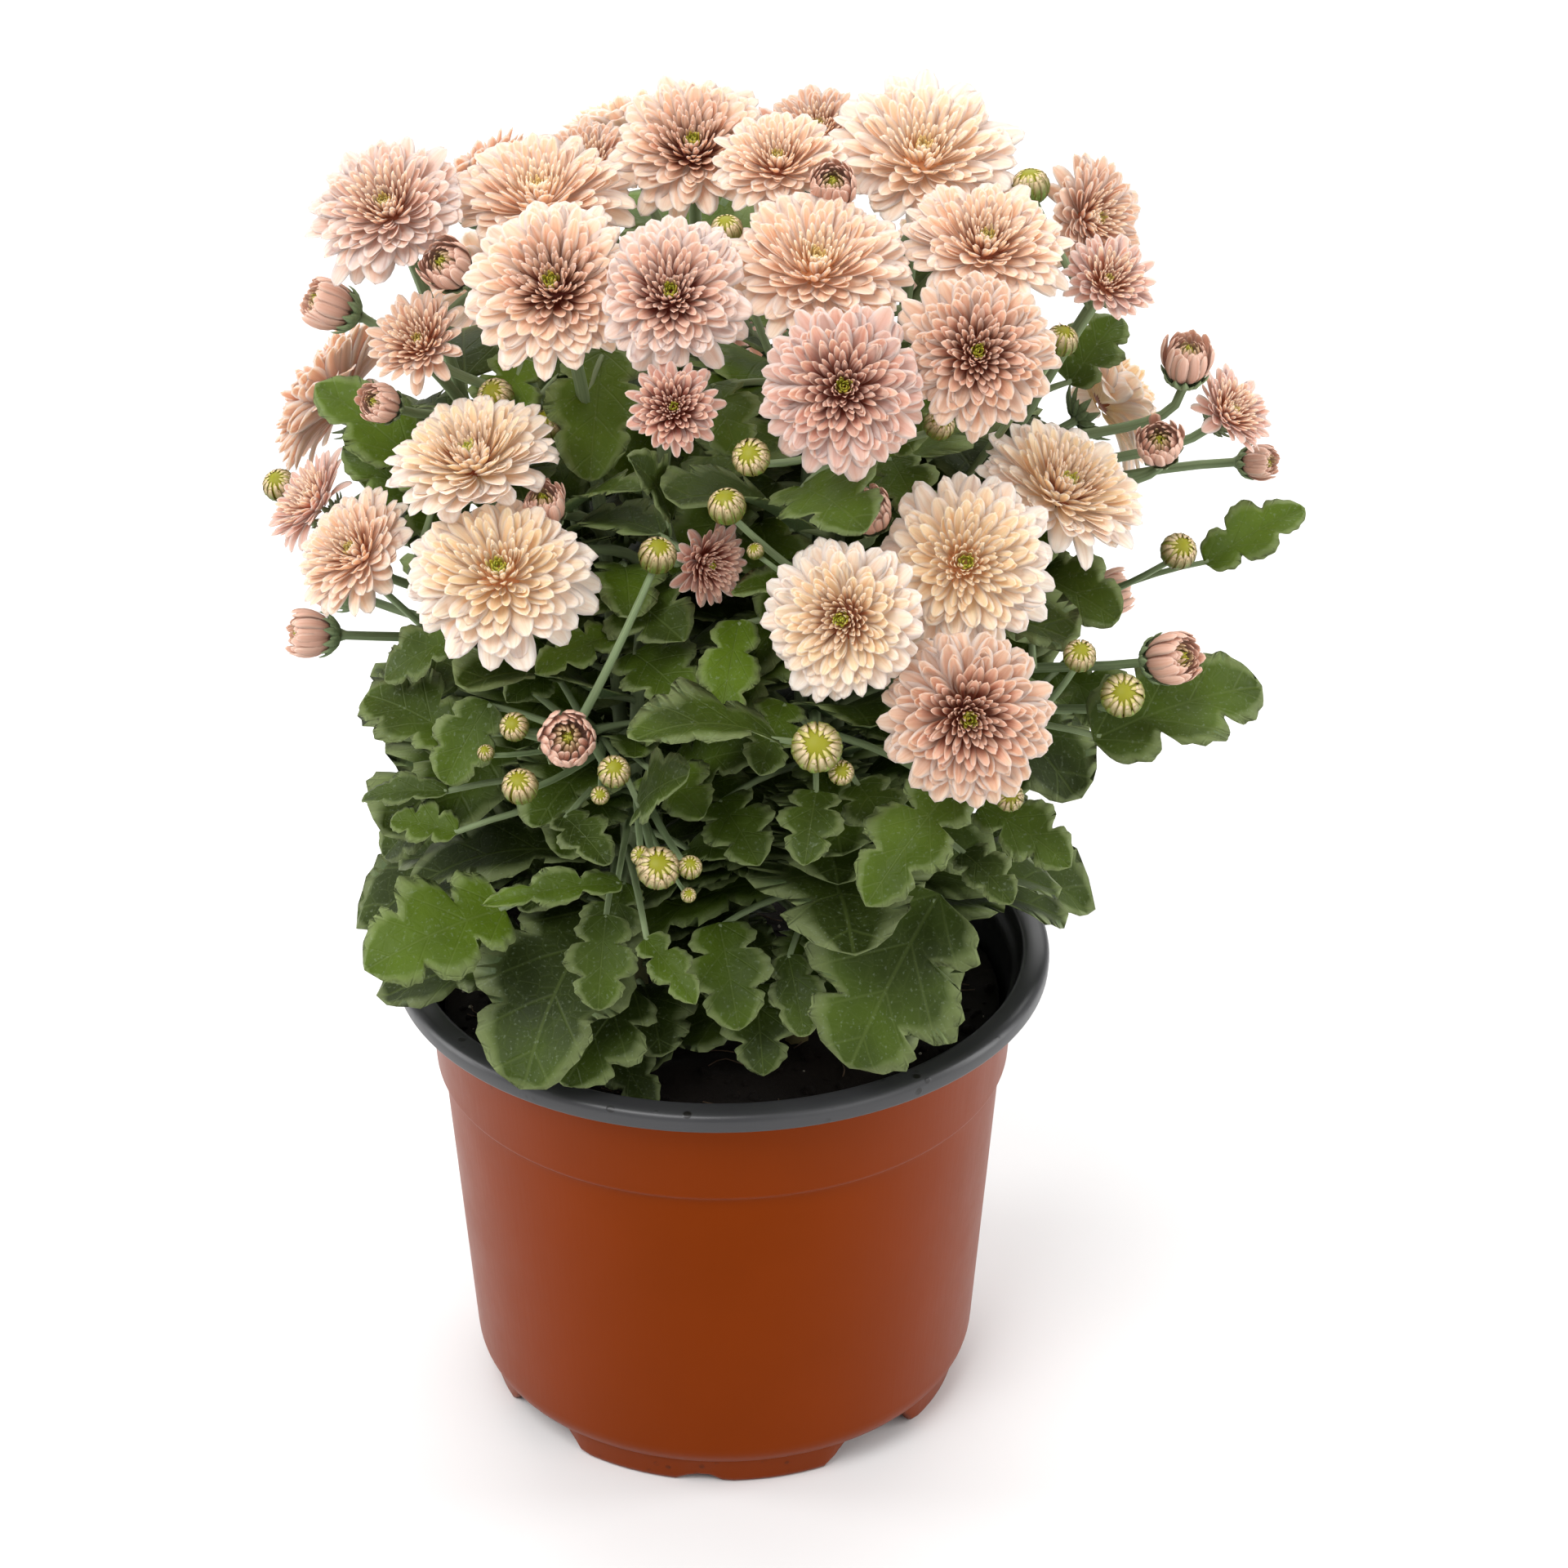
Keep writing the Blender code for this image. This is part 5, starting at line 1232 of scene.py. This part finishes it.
old = add(tree, "MixRGB", {"Fac": blotch, "Color1": linear("#1B240B"), "Color2": linear("#323E12")})
young = add(tree, "MixRGB", {"Fac": blotch, "Color1": linear("#44590F"), "Color2": linear("#68821C")})
broad = add(tree, "TexNoise", {"Vector": place.outputs["Object"], "Scale": 34.0, "Detail": 2.0}).outputs["Fac"]
uneven = add(tree, "MapRange", {"Value": broad, "From Min": 0.38, "From Max": 0.62, "To Min": -0.16, "To Max": 0.22})
tone = add(tree, "Math", {0: tone, 1: uneven.outputs[0]}, operation="ADD", use_clamp=True).outputs[0]
upper = add(tree, "MixRGB", {"Fac": tone, "Color1": old.outputs[0], "Color2": young.outputs[0]})
veined = add(tree, "MixRGB", {"Fac": add(tree, "Math", {0: vein, 1: 0.26}, operation="MULTIPLY").outputs[0],
                              "Color1": upper.outputs[0], "Color2": linear("#65743C")})
# Painted highlight: a pale line along each leaf's margin, where light catches the edge.
edge = add(tree, "Attribute", attribute_name="edge").outputs["Fac"]
rim_highlight_and_dust = add(tree, "MixRGB", {"Fac": add(tree, "Math", {0: edge, 1: 0.60}, operation="MULTIPLY").outputs[0],
                              "Color1": veined.outputs[0], "Color2": linear("#9BA872")})
down = add(tree, "TexNoise", {"Vector": place.outputs["Object"], "Scale": 1400.0, "Detail": 2.0}).outputs["Fac"]
dusting = add(tree, "MapRange", {"Value": down, "From Min": 0.60, "From Max": 0.74, "To Max": 0.22}).outputs[0]
rim_highlight_and_dust = add(tree, "MixRGB", {"Fac": dusting, "Color1": rim_highlight_and_dust.outputs[0], "Color2": linear("#93A088")})
lower = add(tree, "MixRGB", {"Fac": blotch, "Color1": linear("#465838"), "Color2": linear("#64764F")})
tree.links.new(add(tree, "MixRGB", {"Fac": under, "Color1": rim_highlight_and_dust.outputs[0], "Color2": lower.outputs[0]}).outputs[0],
               shader.inputs["Base Color"])
relief = add(tree, "Math", {0: add(tree, "Math", {0: down, 1: 0.35}, operation="MULTIPLY").outputs[0], 1: vein},
             operation="SUBTRACT").outputs[0]
tree.links.new(add(tree, "Bump", {"Height": relief, "Strength": 0.45, "Distance": 0.0003}).outputs[0],
               shader.inputs["Normal"])
tree.links.new(add(tree, "MapRange", {"Value": blotch, "To Min": 0.42, "To Max": 0.58}).outputs[0],
               shader.inputs["Roughness"])
shader.inputs["Specular IOR Level"].default_value = 0.14

leaf_chance = np.random.default_rng(23)
leaf_faces = {kind: skin_faces(1, rings, 2 * columns - 2) for kind, (rings, columns) in LEAF_GRIDS.items()}
for number in range(len(CUTTING_TURNS)):
    blades, stalk_skins = [], []
    for order, blade in enumerate(leaves):
        if blade.number == number:
            points, sheet, marks = leaf_skin(blade, order)
            height = blade.base.z
            age = np.clip((height - 0.110) / 0.14, 0, 1)
            chance = 0.25 * age + leaf_chance.choice((0.0, 0.10, 0.22, 0.50), p=(0.4, 0.3, 0.2, 0.1))
            tone = blade.tone if blade.tone >= 0 else chance
            blades.append((points, leaf_faces[blade.kind], sheet, np.insert(marks, 0, tone, axis=1)))
            points, sheet, faces = leafstalk_skin(blade)
            stalk_skins.append((points, faces, sheet, 0.1))
    offsets = np.cumsum([0] + [len(item[0]) for item in blades[:-1]])
    points = np.concatenate([item[0] for item in blades])
    faces = np.concatenate([item[1] + offset for item, offset in zip(blades, offsets)])
    sheet = np.concatenate([item[2] for item in blades])
    tones = np.concatenate([item[3] for item in blades])
    # The edge value is the share of the painted highlight along each leaf's margin.
    piece = put(f"leaves_{number + 1}", make_mesh(f"leaves_{number + 1}", points, faces, sheet,
                                                  {"tone": tones[:, 0], "under": tones[:, 1], "edge": tones[:, 2]}),
                leaf_skin_finish)
    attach(piece, "root")
    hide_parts(f"leafy_stem_{number + 1}")
    points, faces, sheet, tone = gathered(stalk_skins)
    piece = put(f"leafstalks_{number + 1}", make_mesh(f"leafstalks_{number + 1}", points, faces, sheet, {"tone": tone}),
                stem_skin)
    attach(piece, "root")
    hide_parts(f"leafy_stem_{number + 1}")

# Flower tissue is thin and moist, so light goes a little way into it, and it is marked along its length.
# Each point carries its own colour, and the tissue gives off a faint painted glow of that colour.


def petal_finish(name, rough, glow, painted_glow):
    """Petal material: the point colour with lengthwise streaks, a fine ribbed bump and soft translucence.

    Petals are about a third of a millimetre thick and pass light on to the ones below, so the material
    also emits a faint painted glow of the petal's own colour, in place of what comes through.
    """
    made, tree, shader = new_finish(name)
    place = add(tree, "TexCoord").outputs["UV"]
    run = add(tree, "Mapping", {"Vector": place, "Scale": (7, 0.7, 1)}).outputs[0]
    streak = add(tree, "TexNoise", {"Vector": run, "Scale": 1.0, "Detail": 3.0, "Roughness": 0.6}).outputs["Fac"]
    tint = add(tree, "Attribute", attribute_name="tint").outputs["Color"]
    dark = add(tree, "MixRGB", {"Fac": 1.0, "Color1": tint, "Color2": (0.84, 0.70, 0.62, 1)}, blend_type="MULTIPLY")
    share = add(tree, "MapRange", {"Value": streak, "From Min": 0.42, "From Max": 0.66, "To Min": 0.0, "To Max": 0.6})
    streaked = add(tree, "MixRGB", {"Fac": share.outputs[0], "Color1": tint, "Color2": dark.outputs[0]}).outputs[0]
    tree.links.new(streaked, shader.inputs["Base Color"])
    # Painted glow: the petal's own colour is also emitted as light, standing in for light passed through it.
    tree.links.new(streaked, shader.inputs["Emission Color"])
    shader.inputs["Emission Strength"].default_value = painted_glow
    tree.links.new(add(tree, "Bump", {"Height": streak, "Strength": 0.35, "Distance": 0.0002}).outputs[0],
                   shader.inputs["Normal"])
    shader.inputs["Roughness"].default_value = rough
    shader.inputs["Subsurface Weight"].default_value = glow
    shader.inputs["Subsurface Radius"].default_value = (1.0, 0.55, 0.4)
    shader.inputs["Subsurface Scale"].default_value = 0.002
    shader.inputs["Specular IOR Level"].default_value = 0.3
    return made


def blend(first, second, share):
    """Colours between two, for an array of shares."""
    share = np.clip(share, 0, 1)[..., None]
    return np.asarray(first) * (1 - share) + np.asarray(second) * share


def step_up(value, low, high):
    """Smooth step from 0 at low to 1 at high."""
    share = np.clip((value - low) / (high - low), 0, 1)
    return share * share * (3 - 2 * share)


def ball(wide, high, middle, rings, around):
    """Closed skin of a ball about the flower's axis: half width, half height and height of its middle."""
    lap = np.linspace(0, np.pi, rings + 2)[1:-1, None]
    turn = np.arange(around) * 2 * np.pi / around
    ring = np.stack(np.broadcast_arrays(wide * np.sin(lap) * np.cos(turn), wide * np.sin(lap) * np.sin(turn),
                                        middle - high * np.cos(lap)), axis=-1).reshape(-1, 3)
    return np.concatenate((((0, 0, middle - high),), ring, ((0, 0, middle + high),)))


class Flower:
    """Skins of one flower gathered in its own frame: points, faces, texture places and colours."""

    def __init__(self):
        self.points, self.faces, self.sheets, self.tints, self.total = [], [], [], [], 0

    def take(self, points, faces, sheet, tints):
        self.points.append(points)
        self.faces.append(faces + self.total)
        self.sheets.append(sheet)
        self.tints.append(tints)
        self.total += len(points)

    def take_petals(self, skins, share, beside, colour, rings, around):
        count = len(skins)
        across = 0.5 + beside / 2 + np.arange(count)[:, None] * 1.7
        sheet = np.stack(np.broadcast_arrays(across, share), axis=-1).reshape(-1, 2)
        tints = np.broadcast_to(colour, (count, len(share), 4)).reshape(-1, 4)
        self.take(skins.reshape(-1, 3), skin_faces(count, rings, around), sheet, tints)

    def take_ball(self, wide, high, middle, rings, around, colour):
        points = ball(wide, high, middle, rings, around)
        self.take(points, skin_faces(1, rings, around), np.full((len(points), 2), 0.5),
                  np.tile(linear(colour), (len(points), 1)))


def strap(share):
    """Half width of a bud petal: nearly even, rounded off at the tip."""
    return (0.45 + 0.55 * step_up(share, 0, 0.5)) * np.sqrt(1 - np.clip((share - 0.7) / 0.3, 0, 1) ** 2.2)


# The green buds are still closed: green bracts with brown papery edges stand round a ring of tight petal
# tips, pale and scaly, and the youngest petals in the middle are a smooth yellow-green button.
bract_tissue = petal_finish("bud bracts", 0.5, 0.05, 0.05)
bud_seed = np.random.default_rng(31)


def young_bud(flower, radius, bracts):
    """Closed bud as a ball of scales: bracts up to its shoulder, then petal tips, then the button."""
    rows = (
        (9, 1.00, 94, 0.78, "#4E6A28", "#7E9444", "#84764A"), (11, 1.00, 119, 0.62, "#58722A", "#8E9C4C", "#7A5A36"),
        (13, 0.985, 137, 0.46, "#5C6A22", "#CDB48E", "#6E5A2E"), (14, 0.97, 149, 0.36, "#66701E", "#DCC6A2", "#76682C"),
        (12, 0.955, 159, 0.30, "#74801C", "#CFC27C", "#7E801E"),
    )
    flower.take_ball(0.90 * radius, 0.965 * radius, radius, 9, 16, "#8E901A")
    for row, (count, wide, end, breadth, low, high, edge) in enumerate(rows[0 if bracts else 1:]):
        count = max(7, int(count * min(1, 0.62 + radius / (9 * MM))))
        turn = (np.arange(count) + 0.5 * row) * 2 * np.pi / count + bud_seed.uniform(-0.10, 0.10, count)
        reach = np.radians(end + bud_seed.uniform(-6, 5, count))
        skins, share, beside = petal_skins(turn, 0.02 * radius, (1 - wide) * radius, wide * radius * reach, 0.0,
                                           reach, breadth * radius, 0.10 * radius, -0.35 if row > 1 else 0.1,
                                           strap if row > 1 else lance, rings=5)
        colour = blend(linear(low), linear(high), step_up(share, 0.70, 0.95))
        colour = blend(colour, linear(edge), 0.85 * (np.abs(beside) > 0.9) * (share > 0.3) * (share < 0.99))
        flower.take_petals(skins, share, beside, colour, 5, 6)


for number in range(len(CUTTING_TURNS)):
    parts = []
    for owner, centre, radius, path in shoots:
        if owner != number:
            continue
        upward = direction(0, (25, 60, 40)[len(parts) % 3])
        along = ((centre - path[-1]).normalized() + upward).normalized()
        flower = Flower()
        young_bud(flower, radius, True)
        parts.append((placed(np.concatenate(flower.points), centre - along * radius, along),
                      np.concatenate(flower.faces), np.concatenate(flower.sheets), np.concatenate(flower.tints)))
    if not parts:
        continue
    starts = np.cumsum([0] + [len(part[0]) for part in parts[:-1]])
    mesh = make_mesh(f"green_buds_{number + 1}", np.concatenate([part[0] for part in parts]),
                     np.concatenate([part[1] + start for part, start in zip(parts, starts)]),
                     np.concatenate([part[2] for part in parts]),
                     {"tint": np.concatenate([part[3] for part in parts])})
    piece = put(mesh.name, mesh, bract_tissue)
    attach(piece, "root")
    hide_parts(f"leafy_stem_{number + 1}")


# A half-open bud is a barrel of upright petals, rolled in at their edges, whose tips lean in round a
# hollow crown of quills. Its petals are darker outside than those of an open bloom.
def drawn_in(points, axis_points, head, others, give=4 * MM):
    """Points drawn in towards a head's axis where its neighbours press on it, a little past the mid plane."""
    middle = np.array(head.seat + head.facing * head.radius * 0.3)
    share = np.ones(len(points))
    for other in others:
        apart = np.array(other.seat + other.facing * other.radius * 0.3) - middle
        span = np.linalg.norm(apart)
        if not 1e-6 < span < head.radius + other.radius + 2 * MM:
            continue
        normal = apart / span
        reach = span * head.radius / (head.radius + other.radius) - FIT
        out, root = (points - middle) @ normal, (axis_points - middle) @ normal
        limit = reach + give * (1 - np.exp(-np.maximum(out - reach, 0) / (2.5 * give)))
        pressed = (out > reach) & (out > root)
        want = np.maximum(0.25, (limit - root) / np.where(pressed, out - root, 1))
        share = np.where(pressed, np.minimum(share, want), share)
    return axis_points + (points - axis_points) * share[:, None]


bud_tissue = petal_finish("bud petals", 0.55, 0.10, 0.07)
crown_seed = np.random.default_rng(41)
BUD_ROWS = (
    (13, 0.46, 0.02, 1.86, 40, 118, 0.50, 0.25, "#A07060", "#DBAE9A"),
    (13, 0.42, 0.06, 1.80, 44, 120, 0.46, 0.25, "#946252", "#D8AA96"),
    (15, 0.50, 0.14, 1.62, 56, 128, 0.27, 0.35, "#7E4E40", "#D6A893"),
    (15, 0.40, 0.24, 1.44, 64, 130, 0.19, 0.50, "#7E6244", "#CDB08A"),
    (12, 0.26, 0.30, 1.30, 74, 128, 0.15, 0.50, "#80802A", "#B2AE42"),
    (8, 0.10, 0.35, 1.20, 84, 116, 0.12, 0.50, "#8A8A2C", "#B4B434"),
)
for index, head in enumerate(bud_heads):
    radius = head.radius
    flower = Flower()
    if head.tint == "green":
        young_bud(flower, radius, False)
    else:
        flower.take_ball(0.55 * radius, 0.55 * radius, 0.70 * radius, 7, 12, "#7A6434")
        for row, (count, out, high, length, rise, tip, width, channel, base, top) in enumerate(BUD_ROWS):
            turn = (np.arange(count) + 0.5 * row) * 2 * np.pi / count + crown_seed.uniform(-0.09, 0.09, count)
            skins, share, beside = petal_skins(
                turn, out * radius, high * radius, length * radius * crown_seed.uniform(0.92, 1.06, count),
                np.radians(rise + crown_seed.uniform(-3, 3, count)),
                np.radians(tip + crown_seed.uniform(-12, 9, count)), width * radius, 0.05 * radius, channel, strap,
                slim=row > 2, roll=crown_seed.uniform(-0.25, 0.25, count))
            colour = blend(linear(base), linear(top), share)
            paler = 0.55 * np.abs(beside) ** 2 * (share > 0.1) + 0.35 * step_up(share, 0.85, 1)
            colour = blend(colour, linear("#E8CBB9"), paler * (row < 3))
            flower.take_petals(skins, share, beside, colour, 6, 4 if row > 2 else 6)
    local = np.concatenate(flower.points)
    axis_points = placed(local * (0, 0, 1), head.seat, head.facing)
    world = drawn_in(placed(local, head.seat, head.facing), axis_points, head, all_heads)
    mesh = make_mesh(f"bud_{index + 1:02d}_petals", world, np.concatenate(flower.faces),
                     np.concatenate(flower.sheets), {"tint": np.concatenate(flower.tints)})
    piece = put(mesh.name, mesh, bud_tissue)
    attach(piece, "root")
    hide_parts(f"bud_{index + 1:02d}")

# An open bloom has about 250 petals on a spiral: broad pale spoons outside, narrower ones inside, and a
# heart of quills that are pale at their tips and darker at their feet, round a green eye of petals that
# have not grown yet. They stand on a small domed seat. Each tint is given for the outer and inner petals.
TINTS = {"pink": ("#DDBFB3", "#D09A82"), "peach": ("#E9C9B4", "#E4AE88"), "cream": ("#EBD5C5", "#EAC287"),
         "pale": ("#EFD3C1", "#EBC098"), "mauve": ("#CFA69A", "#B47864"), "dusky": ("#BC8B7D", "#843F2E"),
         "dusty": ("#D2AC96", "#B87E60")}
HEARTS = {"dark": ("#6C2A1C", "#DDAF9C", 0.46, "#9C9C22"), "tan": ("#A25C3E", "#E8C4A8", 0.60, "#B09C48"),
          "pale": ("#DA9C6A", "#F6DABA", 0.74, "#DDBA74"), "closed": ("#9A6E60", "#E6B8A4", 0.5, "#9C9C22")}
petal_tissue = petal_finish("flower petals", 0.6, 0.5, 0.10)
bloom_seed = np.random.default_rng(53)


def spoon(share):
    """Half width of a petal: a narrow foot that widens to a round tip."""
    return (0.32 + 0.68 * step_up(share, 0, 0.62)) * np.sqrt(1 - np.clip((share - 0.62) / 0.38, 0, 1) ** 2.2)


for index, head in enumerate(bloom_heads):
    radius, cup = head.radius * 1.09, head.cup
    outer, inner = (np.array(linear(tint)) for tint in TINTS[head.tint])
    heart, quill = (np.array(linear(tint)) for tint in HEARTS[head.heart][:2])
    heart_from = HEARTS[head.heart][2]
    eye = np.array(linear("#AEB030" if head.tint == "cream" else HEARTS[head.heart][3]))
    size = 1.0 if radius > 14 * MM else 0.8
    opening = cup > 0.5
    heart_from = heart_from - 0.14 * opening
    first = 0
    flower = Flower()
    flower.take_ball(0.26 * radius, 0.12 * radius, 0.24 * radius, 5, 12, HEARTS[head.heart][0])
    for low, high, count, rings, slim in ((0, 0.30, 66, 6, False), (0.30, 0.62, 78, 5, False), (0.62, 1, 112, 4, True)):
        count = int(count * size * (0.62 if opening and low == 0 else 1))
        rank = low + (high - low) * (np.arange(count) + 0.5) / count
        jitter = bloom_seed.normal(0, 1, (7, count))
        turn = (first + np.arange(count)) * 2.39996 + 0.10 * jitter[0]
        first += count
        length = radius * (0.90 - 0.26 * rank - 0.42 * rank ** 2) * (1 + 0.05 * jitter[1])
        rise = 6 + 80 * rank ** 1.5 + 28 * cup * (1 - rank) + 3.5 * jitter[2]
        curl = np.interp(rank, (0, 0.25, 0.6, 1), (-22, 4, 30, 42)) + 8 * jitter[3]
        drooping = (rank < 0.10) & (bloom_seed.random(count) < 0.45)
        rise = np.where(drooping, rise - 16, rise)
        curl = np.where(drooping, -46, curl)
        width = radius * np.interp(rank, (0, 0.3, 0.56, 0.66, 1), (0.32, 0.25, 0.15, 0.085, 0.055))
        width = width * (1 + 0.12 * jitter[4]) * (0.85 if opening else 1.0)
        skins, share, beside = petal_skins(
            turn, 0.16 * radius * np.sqrt(1 - rank), radius * (0.10 + 0.16 * rank), length,
            np.radians(rise - curl / 2), np.radians(rise + curl / 2), width, 0.26 * MM, 0.22 + 0.4 * rank, spoon,
            rings=rings, slim=slim, roll=0.16 * jitter[5] * (1 - rank), sway=0.05 * jitter[6])
        rank = rank[:, None]
        tip = blend(outer, inner, 0.65 * step_up(rank, 0.08, 0.60) * np.ones_like(share))
        foot = blend(inner, heart, 0.3 * step_up(rank, 0.15, heart_from) * np.ones_like(share))
        colour = blend(foot, tip, step_up(share, 0.15, 0.75) * np.ones_like(rank))
        hearted = step_up(rank, heart_from - 0.03, heart_from + 0.06)
        colour = blend(colour, heart, hearted * (1 - step_up(share, 0.35, 0.85)))
        colour = blend(colour, quill, 0.9 * hearted * step_up(share, 0.60, 0.95))
        colour = blend(colour, np.array(linear("#F6E9E0")), 0.38 * np.abs(beside) ** 2 * (share > 0.2) * (1 - hearted))
        colour = blend(colour, eye, 0.95 * step_up(rank, 0.92, 0.95) + 0 * share)
        flower.take_petals(skins, share, beside, colour, rings, 4 if slim else 6)
    local = np.concatenate(flower.points)
    axis_points = placed(local * (0, 0, 1), head.seat, head.facing)
    world = drawn_in(placed(local, head.seat, head.facing), axis_points, head, all_heads, 6 * MM)
    mesh = make_mesh(f"bloom_{index + 1:02d}_petals", world, np.concatenate(flower.faces),
                     np.concatenate(flower.sheets), {"tint": np.concatenate(flower.tints)})
    piece = put(mesh.name, mesh, petal_tissue)
    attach(piece, "root")
    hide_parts(f"bloom_{index + 1:02d}")

# The plant stands on a near-white studio table with a white sweep behind it, under a large soft light
# from the front left, a weaker one from the right, and tall soft boxes at both sides.
made, tree, shader = new_finish("studio table")
shader.inputs["Base Color"].default_value = (0.80, 0.80, 0.80, 1)
shader.inputs["Roughness"].default_value = 0.9
bpy.ops.mesh.primitive_plane_add(size=6.0, location=(0, 0, 0))
floor = bpy.context.active_object
floor.name = "studio_floor"
floor.data.materials.append(made)

world = bpy.data.worlds.new("studio air")
world.use_nodes = True
world.node_tree.nodes["Background"].inputs["Color"].default_value = (1.0, 1.0, 1.0, 1)
world.node_tree.nodes["Background"].inputs["Strength"].default_value = 0.50
bpy.context.scene.world = world


def soft_light(name, place, aim, power, wide, tall):
    """Rectangular soft box at a place, turned to face a point."""
    data = bpy.data.lights.new(name, "AREA")
    data.shape, data.size, data.size_y, data.energy = "RECTANGLE", wide, tall, power
    lamp = bpy.data.objects.new(name, data)
    lamp.location = place
    lamp.rotation_euler = (Vector(aim) - Vector(place)).to_track_quat("-Z", "Y").to_euler()
    bpy.context.scene.collection.objects.link(lamp)
    return lamp


soft_light("key", (-0.5, -0.9, 1.4), (0, 0, 0.18), 17, 0.8, 0.8)
soft_light("fill", (0.9, -0.9, 0.6), (0, 0, 0.15), 4, 0.9, 0.9)
soft_light("left_box", (-0.9, 0.05, 0.25), (0, 0, 0.1), 5, 0.3, 1.0)
soft_light("right_box", (0.9, 0.05, 0.25), (0, 0, 0.1), 5, 0.3, 1.0)
soft_light("top", (0.0, 0.3, 1.3), (0, 0, 0.2), 6, 0.9, 0.9)
soft_light("backdrop", (0.0, 1.3, 1.1), (0, 0.9, 0), 12, 1.8, 1.0)
bpy.context.scene.view_settings.view_transform = "Standard"

lens = bpy.data.cameras.new("camera")
lens.sensor_width = 36.0
lens.lens = 36.0 * FOCAL_PIXELS / 1920
lens.clip_start = 0.05
camera = bpy.data.objects.new("camera", lens)
ahead = Vector((0, math.cos(VIEW_RISE), -math.sin(VIEW_RISE)))
camera.location = VIEW_AIM - ahead * VIEW_DISTANCE
camera.rotation_euler = (math.pi / 2 - VIEW_RISE, 0, 0)
bpy.context.scene.collection.objects.link(camera)
bpy.context.scene.camera = camera
